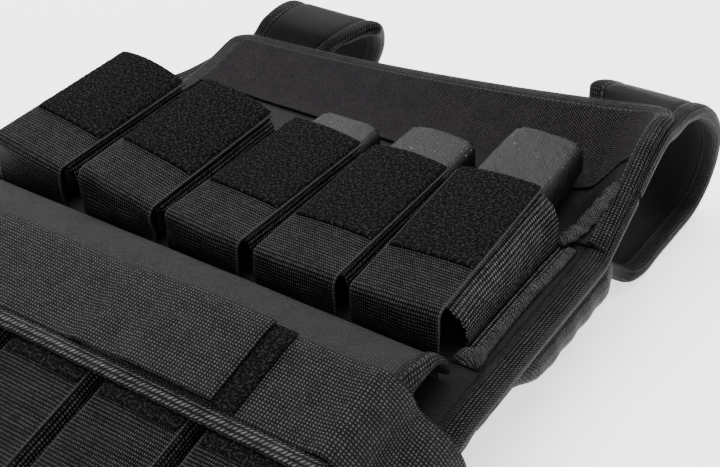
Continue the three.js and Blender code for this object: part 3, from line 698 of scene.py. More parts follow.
@dataclass(frozen=True)
class CastIron:
    """Grey iron as it comes from a sand mould, with scattered rubbed specks."""

    name: str = "cast_iron"
    dark: Triple = (0.0012, 0.00124, 0.0013)
    light: Triple = (0.006, 0.0062, 0.0066)
    rubbed: Triple = (0.16, 0.15, 0.135)

    def build(self) -> bpy.types.Material:
        """Makes the material."""
        material, wires = new_material(self.name)
        place = wires.put("ShaderNodeTexCoord").outputs["Object"]
        sand = wires.noise(place, 900.0, 4.0, 0.65)
        lumps = wires.noise(place, 160.0, 3.0, 0.55)
        cloud = wires.noise(place, 45.0, 2.0)
        pits = wires.put("ShaderNodeTexVoronoi", {"Vector": place, "Scale": 420.0}).outputs["Distance"]
        speck = wires.ramp(wires.noise(place, 520.0, 2.0), 0.67, 0.72)
        tone = wires.fit(lumps, 0.7, wires.fit(cloud, 0.5, -0.1))
        base = wires.blend(wires.ramp(tone, 0.2, 0.9), self.dark, self.light)
        colour = wires.blend(wires.times(speck, wires.ramp(cloud, 0.42, 0.6)), base, self.rubbed)
        height = wires.fit(lumps, 1.6, wires.times(sand, 0.7))
        height = wires.plus(height, wires.times(wires.ramp(pits, 0.0, 0.25), 0.5))
        wires.surface(colour, wires.fit(sand, 0.3, 0.3), height, 0.8, gloss=0.22)
        return material


class Finish(Enum):
    """The finishes of the vest, each with the slot that it belongs to."""

    PANEL = "nylon"
    LINING = "nylon_lining"
    FLAP = "nylon_flap"
    WEB = "webbing"
    STRIP = "webbing_strip"
    BELT = "webbing_belt"
    TAPE = "binding"
    TRIM = "binding_trim"
    BASKET = "binding_basket"
    THREAD = "webbing_thread"
    ROPE = "binding_rope"
    PILE = "loop"
    HOOK = "hook"
    FUZZ = "hook_fuzz"
    IRON = "iron"

    @property
    def slot(self) -> str:
        """The slot that the finish belongs to."""
        return self.value.split("_")[0]


WEAVES = {
    Finish.PANEL: Weave("panel_nylon", 0.9, 0.9, grey(0.0008), grey(0.028, 0.0285), stagger=0.5,
                        roughness=0.55, sharp=2),
    Finish.LINING: Weave("lining_nylon", 0.6, 0.6, (0.0025, 0.0023, 0.0026), (0.011, 0.0106, 0.0114),
                         relief=0.1, roughness=0.5),
    Finish.FLAP: Weave("flap_nylon", 1.6, 0.45, (0.003, 0.0029, 0.003), (0.034, 0.033, 0.0335),
                       relief=0.2, roughness=0.5),
    Finish.WEB: Weave("side_webbing", 2.3, 1.8, grey(0.0003), grey(0.098, 0.099), relief=0.6,
                      roughness=0.4, strength=1.0, sharp=2.0, slant=0.3, rib=1.6, gloss=0.05),
    Finish.STRIP: Weave("strip_webbing", 1.25, 1.9, grey(0.0003), grey(0.05, 0.0505), relief=0.6,
                        roughness=0.4, strength=1.0, sharp=3.0, bands=0.6, selvage=25.0, gloss=0.05),
    Finish.BELT: Weave("belt_webbing", 1.7, 1.7, grey(0.0007), grey(0.052, 0.0525), relief=0.6,
                       roughness=0.5, strength=1.0, sharp=2.4),
    Finish.TAPE: Weave("edge_tape", 1.3, 1.8, grey(0.0004), grey(0.052, 0.053), slant=0.9, fold=14.0,
                       relief=0.5, roughness=0.5, sharp=3.0, gloss=0.05, stitch_at=8.5),
    Finish.TRIM: Weave("strap_trim", 1.2, 1.9, grey(0.0004), grey(0.05, 0.051), slant=0.9, fold=5.0,
                       relief=0.5, roughness=0.5, sharp=3.0, gloss=0.05, stitch_at=8.8),
    Finish.BASKET: Weave("side_tape", 1.6, 1.6, grey(0.0006), grey(0.0672, 0.06832), stagger=0.5,
                         relief=0.6, roughness=0.45, sharp=2.4),
    Finish.THREAD: Weave("edge_thread", 0.9, 1.2, grey(0.0006), grey(0.147, 0.149), stagger=0.5,
                         slant=0.3, relief=0.8, roughness=0.5, sharp=2.6, fuzz=0.5, patchy=0.8),
    Finish.ROPE: Weave("hem_tape", 2.2, 2.4, grey(0.0006), grey(0.08925, 0.0903), slant=1.1, fold=13.0,
                       relief=0.7, roughness=0.5, sharp=2.2),
    Finish.HOOK: Weave("hook_tape", 1.2, 1.3, (0.0004, 0.0003, 0.0004), (0.042, 0.0365, 0.0415),
                       slant=0.5, relief=0.5, roughness=0.7, fuzz=0.6, gloss=0.05, sharp=1.6,
                       patchy=0.25),
}


class Wardrobe:
    """Holds what pieces share, and dresses them."""

    def __init__(self) -> None:
        """Builds every finish and the bar's model once."""
        self.blank = blank_bar()
        group = yarn_group()
        self.materials = {finish: weave.build(group) for finish, weave in WEAVES.items()}
        self.materials[Finish.PILE] = Pile().build()
        self.materials[Finish.FUZZ] = Pile("hook_fuzz", light=(0.02, 0.0185, 0.021)).build()
        self.materials[Finish.IRON] = CastIron().build()

    def dress(self, piece: Piece, finish: Finish, *nodes: str) -> Piece:
        """Gives a piece its finish and its place in the model.

        Args:
            piece: The piece.
            finish: Its finish.
            nodes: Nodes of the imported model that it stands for.

        Returns:
            The piece.
        """
        piece.data.materials.clear()
        piece.data.materials.append(self.materials[finish])
        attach(piece, "root")
        if nodes:
            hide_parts(*nodes)
        LOG.info("%s: %d faces", piece.name, len(piece.data.polygons))
        return piece


# The vest's pieces


def deselect() -> None:
    """Clears the selection, so that an operator acts on new work alone."""
    for item in bpy.context.selected_objects:
        item.select_set(False)


def apply_modifiers(piece: Piece) -> None:
    """Applies every modifier of a piece in order."""
    deselect()
    bpy.context.view_layer.objects.active = piece
    piece.select_set(True)
    for modifier in list(piece.modifiers):
        bpy.ops.object.modifier_apply(modifier=modifier.name)
    piece.select_set(False)


def mesh_points(mesh: bpy.types.Mesh, kind: str) -> Array:
    """A value of every vertex of a mesh, as rows of three."""
    values = np.empty(len(mesh.vertices) * 3)
    mesh.vertices.foreach_get(kind, values)
    return values.reshape(-1, 3)


def blank_bar() -> bpy.types.Mesh:
    """Models the iron bar once, round its own middle.

    Returns:
        The mesh that every bar is a copy of.
    """
    deselect()
    bpy.ops.mesh.primitive_cube_add(size=1.0)
    piece = bpy.context.active_object
    piece.scale = (S.bar_width * MM, S.bar_length * MM, S.bar_depth * MM)
    bpy.ops.object.transform_apply(location=True, rotation=True, scale=True)
    bevel = piece.modifiers.new("corners", "BEVEL")
    bevel.width = S.bar_bevel * MM
    bevel.segments = 5
    bevel.limit_method = "NONE"
    dense = piece.modifiers.new("dense", "SUBSURF")
    dense.subdivision_type = "SIMPLE"
    dense.levels = 2
    dense.render_levels = 2
    apply_modifiers(piece)
    bpy.ops.object.select_all(action="DESELECT")
    piece.select_set(True)
    bpy.ops.object.shade_smooth()
    mesh = piece.data
    bpy.data.objects.remove(piece)
    return mesh


@dataclass(frozen=True)
class Pocket:
    """One pocket's own place in its row."""

    across: float = 0.0
    along: float = 0.0
    turn: float = 0.0
    left: float = 0.0
    right: float = 0.0
    mouth: float = 0.0
    drawn: float = 0.0
    crown: float = 1.2
    dent: float = 1.0
    spread: float = 0.0
    lean: float = 0.0
    bar_turn: float = 0.0


UPPER_POCKETS = (
    Pocket(-0.09, 0.02, -0.3, 0.4, 0.02, 0.1, crown=4.2, dent=0.8),
    Pocket(0.06, -0.01, -0.5, 0.42, 0.0, 0.12, crown=3.2, dent=2.6),
    Pocket(0.03, 0.0, 2.2, 0.05, 0.0, 0.06, 0.28, crown=2.0, dent=1.6),
    Pocket(0.02, 0.0, 0.0, 0.0, 0.05, 0.12, 0.41, crown=3.0, dent=1.2),
    Pocket(-0.02, 0.03, -1.6, 0.0, 0.12, 0.28, 0.58, crown=1.8, dent=0.9, spread=2.6,
           lean=8.0, bar_turn=2.4),
)


@dataclass
class PocketRow:
    """A row of webbing pockets with their bars."""

    name: str
    pockets: Sequence[Pocket]
    to_vest: Callable[[Array], Array]
    flange: float = 16.0
    patches: bool = True
    strip_width: float = 50.0
    strip_bend: float = 8.0
    strip_fold: float = 4.2
    strip_foot: float = 4.0
    loop_width: float = 47.0
    loop_length: float = 74.0
    recede: float = 7.0
    rim: float = 0.8
    pile: float = 1.2
    pile_rim: float = 2.2
    hook_from: float = 32.0
    lumps: float = 0.35
    bar_inset: float = 0.2
    stitching: tuple[float, float] = (3.0, 2.3)
    tack: tuple[float, float] = (7.2, 3.9)
    tack_end: float = 12.0

    def start(self, spot: Pocket) -> float:
        """Where a bar starts in its pocket."""
        return S.bar_setback + spot.drawn * S.bar_length

    def slope(self, index: int, spot: Pocket) -> float:
        """How steeply a drawn-out bar lies on the open flap."""
        start = self.start(spot)
        layers = S.flap_thick + S.hook_thick + 3 * S.gap
        steepest = 0.0
        for y in np.arange(S.flap_root, start + S.bar_length + spot.along * S.pitch, 1.0):
            for x in (-S.bar_width / 2, 0.0, S.bar_width / 2):
                px, py = self.spot_place(index, spot, x, y)
                layer = layers if py > S.flap_root + self.hook_from else layers - S.hook_thick - S.gap
                need = float(cover(px, py)) - S.front_level + layer - S.gap
                steepest = max(steepest, need / (y - start))
        return steepest

    def spot_place(self, index: int, spot: Pocket, x: Array, y: Array) -> tuple[Array, Array]:
        """A place in a pocket, from its own middle and bottom, in the row's frame."""
        middle = (index - (S.pockets - 1) / 2 + spot.across) * S.pitch
        across, along = turned(x, y, math.radians(spot.turn))
        return middle + across, spot.along * S.pitch + along

    def slack(self, index: int, spot: Pocket, x: Array, y: Array) -> Array:
        """Extra height of a pocket's front at a place in it."""
        across = np.clip(x / S.wall_half, -1, 1) / 2 + 0.5
        along = np.clip(y / S.pocket_length, 0, 1)
        lean = self.slope(index, spot) * (S.pocket_length - self.start(spot)) if spot.drawn > 0 else 0.0
        mouth = max(spot.mouth * S.bar_depth, lean)
        return S.bar_depth * mix(spot.left, spot.right, across) + mouth * along

    def crown(self, spot: Pocket, x: Array, y: Array) -> Array:
        """Extra height of a pocket's front between its two sides."""
        across = np.clip(x / self.strip_width + 0.5, 0, 1)
        mouth = mix(1.0, spot.crown, np.clip(y / S.pocket_length, 0, 1) ** 1.5)
        return mouth * np.sin(np.pi * across) ** 0.8 * np.clip(y / 25.0, 0, 1)

    def channel(self) -> tuple[Array, Array]:
        """Middle line of one pocket's side webbing, as places across and heights."""
        half = S.wall_half - S.web / 2
        top = S.band_top - S.web / 2
        foot = S.gap + S.web / 2
        radius = S.corner
        wall = np.linspace(0, 1, 9)[:-1]
        turn = np.linspace(0, math.pi / 2, 8)
        rise = foot + wall * (top - radius - foot)
        bulge = 0.7 * np.sin(np.pi * wall)
        x = np.concatenate([-half - bulge, -half + radius * (1 - np.cos(turn)), [-half / 4]])
        h = np.concatenate([rise, top - radius + radius * np.sin(turn), [top]])
        return np.concatenate([x, -x[::-1]]), np.concatenate([h, h[::-1]])

    def band(self, wardrobe: Wardrobe) -> None:
        """The webbing that makes all side walls of the row."""
        x, h = self.channel()
        y = spaced(S.pocket_length - self.strip_bend, self.rim, 2.5) + self.strip_bend
        parts = []
        foot = S.gap + S.web / 2
        grid_x, grid_y = np.meshgrid(x, y)
        share = np.clip((h - foot) / (S.band_top - foot), 0, 1)[None, :]
        belly = np.sin(np.pi * share)
        recede = self.recede * (1 - share) ** 0.7 * (S.pocket_length - grid_y) / S.pocket_length
        for index, spot in enumerate(self.pockets):
            px, py = self.spot_place(index, spot, grid_x, grid_y + recede)
            lift = self.slack(index, spot, grid_x, grid_y) * ease(share * 1.6)
            push = spot.spread * (grid_y / S.pocket_length) ** 2
            push = push + spot.lean * ((1 - share) ** 1.3 + 0.35 * belly)
            ripple = 0.35 * np.sin(grid_y / 9.0 + index * 1.9) * belly
            parts.append(np.stack([px + push * (grid_x > 0) + ripple, py, h[None, :] + lift], axis=2))
        rows = [parts[0]]
        for part in parts[1:]:
            rows.append(mix(rows[-1][:, -1:], part[:, :1], np.linspace(0, 1, 5)[1:-1][None, :, None]))
            rows.append(part)
        wings = []
        for edge, sign in ((parts[0][:, :1], -1), (parts[-1][:, -1:], 1)):
            lean = self.pockets[-1].lean if sign > 0 else 0.0
            reach = spaced(self.flange - lean, self.rim, 3.0)
            wings.append(edge + np.array([sign, 0, 0]) * reach[None, ::sign, None])
        middle = np.concatenate([wings[0][:, :-1], *rows, wings[1][:, 1:]], axis=1)
        around = run_length(middle[len(y) // 2])
        uv = np.stack(np.meshgrid(around, y), axis=2)
        thick = S.web * rims(around, y - y[0], self.rim)
        piece = soft_wall(f"{self.name}_side_webbing", self.to_vest(middle), uv, thick)
        wardrobe.dress(piece, Finish.WEB, f"{self.name}_band")

    def strip(self, wardrobe: Wardrobe, index: int, spot: Pocket) -> None:
        """The strip down a pocket's front, bent round its bottom onto the panel."""
        x = spaced(self.strip_width, self.rim, 3.0) - self.strip_width / 2
        middle_h = S.strip_over - S.web / 2
        bend = self.strip_fold
        face = S.web / 2
        turn = np.linspace(0, math.pi / 2, 9)
        straight = np.linspace(S.pocket_length, face + bend, 32)[:-1]
        foot = S.gap + S.web / 2
        drop = np.linspace(middle_h - bend, foot + 2.0, 7)[1:]
        y = np.concatenate([straight, face + bend * (1 - np.sin(turn)), np.full(len(drop), face),
                            [face - 0.6, -self.strip_foot]])
        h = np.concatenate([np.full(len(straight), middle_h), middle_h - bend + bend * np.cos(turn),
                            drop, [foot + 0.5, foot]])
        keep = np.concatenate([np.ones(len(straight) + len(turn)),
                               np.linspace(1, 0, len(drop) + 1)[1:], [0, 0]])
        grid_x, grid_y = np.meshgrid(x, y)
        across = np.clip((grid_x / self.strip_width + 0.5), 0, 1)
        crown = self.crown(spot, grid_x, grid_y) * keep[:, None]
        low = np.sin(np.pi * np.clip(1 - h / S.strip_over, 0, 1))[:, None]
        dents = wobble(grid_x * 0.9, h[:, None] * 1.2, 9.0, index * 1.3 + 2.0)
        belly = low * (1.3 * np.sin(np.pi * across) + spot.dent * (0.5 + 0.8 * dents))
        lift = self.slack(index, spot, grid_x, np.maximum(grid_y, self.strip_bend)) * keep[:, None]
        px, py = self.spot_place(index, spot, grid_x, grid_y - belly)
        middle = np.stack([px, py, h[:, None] + lift + crown], axis=2)
        along = run_length(middle[:, len(x) // 2])
        reach = x + self.strip_width / 2
        uv = np.stack(np.meshgrid(reach, along), axis=2)
        piece = soft_wall(f"{self.name}_front_webbing_{index + 1}", self.to_vest(middle), uv,
                          S.web * rims(reach, along, self.rim))
        wardrobe.dress(piece, Finish.STRIP, f"{self.name}_strip_{index + 1}")

    def patch(self, wardrobe: Wardrobe, index: int, spot: Pocket) -> None:
        """The brushed patch on a pocket's front."""
        u = spaced(self.loop_width, 0.9, 1.6)
        v = spaced(self.loop_length, 0.9, 1.6)
        grid_u, grid_v = np.meshgrid(u, v)
        grid_x = grid_u - self.loop_width / 2
        grid_y = S.pocket_length - S.gap - grid_v
        lift = self.slack(index, spot, grid_x, grid_y) + self.crown(spot, grid_x, grid_y)
        height = self.pile + 0.3 * wobble(grid_u, grid_v, 0.9, index + 1.0)
        edge_u = 0.35 * wobble(grid_v, grid_u, 1.7, index + 3.0)
        px, py = self.spot_place(index, spot, grid_x + edge_u, grid_y)
        base = S.strip_over + S.gap
        over = np.stack([px, py, base + 0.1 + height * rims(u, v, self.pile_rim) + lift], axis=2)
        under = np.stack([px, py, base + lift], axis=2)
        uv = np.stack([grid_u, grid_v], axis=2)
        name = f"{self.name}_pile_{index + 1}"
        piece = closed_wall(name, self.to_vest(over), self.to_vest(under), uv)
        wardrobe.dress(piece, Finish.PILE, f"{self.name}_loop_{index + 1}")

    @staticmethod
    def rounded(points: Array) -> Array:
        """Points of a bar with its four upright corners pulled in to an arc."""
        half = np.array([S.bar_width, S.bar_length]) / 2 - S.bar_arc
        past = np.abs(points[:, :2]) - half
        inside = (past > 0).all(axis=1)
        size = np.linalg.norm(past, axis=1)
        scale = np.where(inside, past.max(axis=1) / np.maximum(size, 1e-6), 1.0)
        moved = np.sign(points[:, :2]) * (half + past * scale[:, None])
        result = points.copy()
        result[inside, :2] = moved[inside]
        return result

    def bar(self, wardrobe: Wardrobe, index: int, spot: Pocket) -> None:
        """A copy of the bar, with its own mesh, in a pocket."""
        mesh = wardrobe.blank.copy()
        piece = bpy.data.objects.new(f"{self.name}_iron_{index + 1}", mesh)
        bpy.context.scene.collection.objects.link(piece)
        points, normals = mesh_points(mesh, "co") / MM, mesh_points(mesh, "normal")
        lumps = self.lumps * wobble(points[:, 0] + points[:, 2], points[:, 1], 5.0, index + 0.5)
        points = self.rounded(points) + normals * (lumps[:, None] - self.bar_inset)
        points += np.array([0.0, S.bar_length / 2, S.bar_depth / 2])
        tilt = math.atan(self.slope(index, spot)) if spot.drawn > 0 else 0.0
        up, along = turned(points[:, 2], points[:, 1], tilt)
        across, along = turned(points[:, 0], along, math.radians(spot.turn + spot.bar_turn))
        px, py = self.spot_place(index, spot, 0.0, self.start(spot))
        placed = self.to_vest(np.stack([px + across, py + along, up + S.gap], axis=1))
        placed = (placed + VEST_ORIGIN) * MM
        mesh.vertices.foreach_set("co", placed.ravel())
        mesh.update()
        wardrobe.dress(piece, Finish.IRON, f"{self.name}_bar_{index + 1}")

    def build(self, wardrobe: Wardrobe) -> None:
        """Builds the whole row."""
        self.band(wardrobe)
        for index, spot in enumerate(self.pockets):
            self.strip(wardrobe, index, spot)
            if self.patches:
                self.patch(wardrobe, index, spot)
            self.bar(wardrobe, index, spot)

    def edge_stitching(self, wardrobe: Wardrobe, sign: int) -> None:
        """The thick overlocked edge of the row's outer flange, with a wider tack at its near end."""
        y = np.linspace(self.strip_bend - 3.0, S.pocket_length + 4.0, 110)
        tack = 1 - ease((y - self.tack_end) / 7.0)
        half = mix(self.stitching[0], self.tack[0], tack) + 0.25 * np.sin(y * 1.9)
        height = mix(self.stitching[1], self.tack[1], tack) + 0.25 * np.sin(y * 2.7 + 1.0)
        middle = S.pocket_end + self.flange - 2.6 - 2.4 * tack + 0.5 * np.sin(y / 13.0)
        height = height * swell(y - y[0], y[-1] - y[0], 2.5)
        side, rise = (np.sign(turn) * np.abs(turn) ** 0.7 for turn in (np.cos(RING), np.sin(RING)))
        x = sign * (middle[:, None] + half[:, None] * side[None, :])
        h = S.gap + S.web / 2 + height[:, None] * rise[None, :] * np.where(rise > 0, 1.0, 0.3)[None, :]
        rings = np.stack([x, np.broadcast_to(y[:, None], x.shape), h], axis=2)
        side_name = "right" if sign > 0 else "left"
        piece = closed_tube(f"{self.name}_edge_stitching_{side_name}", self.to_vest(rings))
        wardrobe.dress(piece, Finish.THREAD)


@dataclass
class Panels:
    """The two padded panels with their edge tapes."""

    bulge: float = 8.0
    dent: float = 0.8
    back_profile: Rows = (
        (1.0, 1.0), (0.57, 1.0), (0.47, 0.93), (0.36, 0.62), (0.26, 0.36), (0.17, 0.2), (0.1, 0.06),
        (0.0, 0.03))

    def front_place(self, x: Array, at: Array, up: Array | float) -> Array:
        """A point on the front panel."""
        y = S.front_top - at
        return np.stack([x, y, cover(x, np.minimum(y, S.front_top)) + up], axis=2)

    def back_under(self, y: Array) -> Array:
        """Height of the back panel's under face."""
        along = (y - S.back_bottom) / (S.back_top - S.back_bottom)
        return S.back_depth * table(self.back_profile, along)

    def back_place(self, x: Array, at: Array, up: Array | float) -> Array:
        """A point on the back panel."""
        y = S.back_top - at
        return np.stack([x + S.back_shift, y, self.back_under(y) + up], axis=2)

    def back_rim(self, x: Array, at: Array, up: Array) -> Array:
        """A point on the back panel's edge tape, which bulges at the wearer's right."""
        y = S.back_top - at
        side = ease((x - S.back_width / 2 + S.binding) / 6)
        bulge = self.bulge * side * ease((y - 28) / 26) * ease((150 - y) / 25)
        ripple = 0.5 * np.sin(y / 3.1) * side
        return self.back_place(x + bulge + ripple, at, up * (1 + bulge / 14) + S.panel_thick / 2)

    def panel(self, wardrobe: Wardrobe, side: str, size: Triple, spacing: float, lip: float,
              face: Callable[[Array, Array], Array], rim: Callable[[Array, Array, Array], Array],
              finish: Finish) -> None:
        """Builds one panel with its edge tape.

        Args:
            wardrobe: Dresses the pieces.
            side: Start of the pieces' names.
            size: Width, length and corner radius over the tape.
            spacing: Distance of the panel's points.
            lip: How much thicker the tape is than the panel.
            face: Gives points of the panel for places across and along.
            rim: Gives points of the tape for places across, along and up.
            finish: Finish of the tape.
        """
        width, length, corner = size[0] - 2 * S.binding, size[1] - S.binding, size[2] - S.binding
        pad = cut_sheet(f"{side}_padding", face, width, length, S.panel_thick, corner, 4.0, spacing)
        wardrobe.dress(pad, Finish.PANEL, f"{side}_panel")
        path = edge_path(0.0, length, width / 2, corner, 5.0)
        tape = bound_edge(f"{side}_edge_tape", path, S.binding, S.panel_thick + lip, rim)
        wardrobe.dress(tape, finish, f"{side}_binding")

    def build(self, wardrobe: Wardrobe) -> None:
        """Builds both panels."""
        half = S.panel_thick / 2

        def front(u: Array, v: Array) -> Array:
            dent = self.dent * wobble(u, v, 17.0, 2.0) * ease((np.abs(u) - 150) / 12)
            return self.front_place(u, v, dent - half)

        self.panel(wardrobe, "front", (S.front_width, S.front_top - S.front_bottom, S.front_corner),
                   4.0, 2.0, front, lambda x, v, up: self.front_place(x, v, up - half), Finish.TAPE)
        self.panel(wardrobe, "back", (S.back_width, S.back_top - S.back_bottom, S.back_corner),
                   6.0, 3.0, lambda u, v: self.back_place(u, v, half), self.back_rim, Finish.BASKET)


@dataclass
class OpenFlap:
    """The upper row's flap, thrown open with its hook tape up."""

    corner: float = 17.0
    hook_inset: float = 35.0
    hook_rise: float = 11.0
    seam_at: float = 65.0
    seam_depth: float = 0.9
    proud: float = 0.9
    tack_way: Sequence[Triple] = (
        (151.0, 111.0, 0.0), (157.0, 121.0, 0.0), (162.0, 135.0, 0.0), (166.0, 149.0, 0.0))
    tack_radius: float = 2.2

    def place(self, x: Array, at: Array, up: Array | float) -> Array:
        """A point on the flap."""
        px = x + S.flap_shift
        y = S.flap_root + at
        return np.stack([px, y, cover(px, y) + S.gap + up], axis=2)

    def build(self, wardrobe: Wardrobe) -> None:
        """Builds the flap."""
        width = S.flap_width - 2 * (S.flap_binding + S.gap)
        length = S.flap_reach - S.flap_binding - S.gap
        corner = self.corner - S.flap_binding
        cloth = cut_sheet("open_flap_cloth", lambda u, v: self.place(u, v, S.flap_thick / 2),
                          width, length, S.flap_thick, corner, 1.0, 3.0)
        wardrobe.dress(cloth, Finish.LINING, "top_flap")
        low = S.flap_thick + S.gap + S.hook_thick / 2

        def hook(u: Array, v: Array) -> Array:
            lift = 0.5 * np.exp(-((v / 3.0) ** 2)) + 0.25 * wobble(u, v, 13.0, 5.0)
            seam = -self.seam_depth * np.exp(-(((u - self.seam_at + 0.25 * v) / 1.8) ** 2))
            raised = self.hook_rise * ease((u - 95) / 40) * np.clip(1 - v / 45.0, 0, 1)
            return self.place(u, v + raised + self.hook_inset, low + np.maximum(lift, -0.1) + seam)

        size = (width - 4 * S.gap, length - self.hook_inset - S.gap)
        tape = cut_sheet("open_flap_hooks", hook, *size, S.hook_thick, corner, 0.6, 2.5)
        wardrobe.dress(tape, Finish.HOOK, "top_flap_hook")
        path = edge_path(0.0, length, width / 2, corner, 4.0)
        height = S.flap_thick + 2 * self.proud
        edge = bound_edge("open_flap_edge_tape", path, S.flap_binding, height,
                          lambda x, v, up: self.place(x, v, up + height / 2))
        wardrobe.dress(edge, Finish.TAPE, "top_flap_binding")
        self.corner_tack(wardrobe)

    def corner_tack(self, wardrobe: Wardrobe) -> None:
        """The lumpy tack where the flap's right edge tape ends on the panel."""
        share = np.linspace(0, 1, 60)
        line = spline(np.array(self.tack_way), len(share))
        radius = self.tack_radius + 1.2 * np.sin(np.pi * share) + 0.3 * np.sin(share * 47.0)
        radius = radius * swell(share, 1.0, 0.08)
        line[:, 2] = cover(line[:, 0], line[:, 1]) + S.gap + S.flap_thick + radius * 0.7
        ring = radius[:, None] * (1 + 0.12 * np.sin(3 * RING[None, :] + share[:, None] * 37.0))
        side, rise = ring * np.cos(RING), ring * np.sin(RING)
        rings = line[:, None, :] + np.stack([1.25 * side, -0.5 * side, rise], axis=2)
        wardrobe.dress(closed_tube("open_flap_corner_tack", rings), Finish.THREAD)


@dataclass
class ClosedFlap:
    """The lower row's flap, closed over its pockets."""

    width: float = 312.0
    root: float = -7.0
    reach: float = 94.0
    corner: float = 12.0
    sag: float = 9.0
    proud: float = 0.9
    tape: float = 6.0
    end_tape_gap: float = 9.5
    blur: int = 7
    flat_length: float = 106.0
    rise: Rows = (
        (0.0, 0.03), (0.03, 0.3), (0.1, 0.52), (0.26, 0.7), (0.6, 0.88), (1.0, 1.0))

    @property
    def mouths(self) -> float:
        """Place of the lower pockets' mouths."""
        return -S.row_pitch + S.pocket_length * math.cos(S.droop_angle)

    def height(self, at: Array) -> Array:
        """Height of the flap's outer face."""
        stack = (S.loop_over + S.gap + S.flap_thick) / math.cos(S.droop_angle)
        along = np.clip(at / (self.root - self.mouths), 0, 1)
        keys, values = np.array(self.rise).T
        fine = np.linspace(0, 1, 81)
        steps = np.pad(np.interp(fine, keys, values), self.blur // 2, mode="edge")
        smooth = np.convolve(steps, np.ones(self.blur) / self.blur, "valid")
        smooth[0] = values[0]
        return S.front_level + droop(self.root - at) + stack * np.interp(along, fine, smooth)

    def place(self, x: Array, at: Array, up: Array | float) -> Array:
        """A point on the flap, up from its outer face along its normal."""
        fall = (self.height(at + 1.0) - self.height(np.maximum(0.0, at - 1.0))) / 2.0
        size = np.sqrt(1 + fall * fall)
        past = (np.abs(x) - S.pocket_end) / (self.width / 2 - S.pocket_end)
        end = -self.sag * ease(past) * ease(at / (self.root - self.mouths))
        return np.stack([x + 0 * at, self.root - at + up * fall / size,
                         self.height(at) + end + up / size], axis=2)

    def build(self, wardrobe: Wardrobe) -> None:
        """Builds the flap."""
        width = self.width - 2 * (self.tape + S.gap)
        length = self.reach - self.tape - S.gap
        corner = self.corner - self.tape

        def cloth(u: Array, v: Array) -> Array:
            wave = 0.5 * wobble(u, v * 2.0, 21.0, 7.0) * np.sin(np.pi * np.clip(v / 45.0, 0, 1))
            return self.place(u, v, wave - S.flap_thick / 2)

        sheet = cut_sheet("closed_flap_cloth", cloth, width, length, S.flap_thick, corner, 1.0, 3.0)
        wardrobe.dress(sheet, Finish.FLAP, "row_flap")
        start = self.root - self.mouths
        path = edge_path(start, length, width / 2, corner, 3.0)
        height = S.flap_thick + 2 * self.proud

        def middle(x: Array, v: Array, up: Array) -> Array:
            return self.place(x, v, up + height / 2 - S.flap_thick)

        edge = bound_edge("closed_flap_edge_tape", path, self.tape, height, middle)
        wardrobe.dress(edge, Finish.ROPE, "row_flap_binding")
        along = np.linspace(1.0, start - self.end_tape_gap, 22)
        for side_name, sign in (("right", 1), ("left", -1)):
            path = EdgeStation(0 * along + sign * width / 2, along, 0 * along + sign, 0 * along)
            end = bound_edge(f"closed_flap_end_tape_{side_name}", path, self.tape, height, middle)
            wardrobe.dress(end, Finish.TAPE)


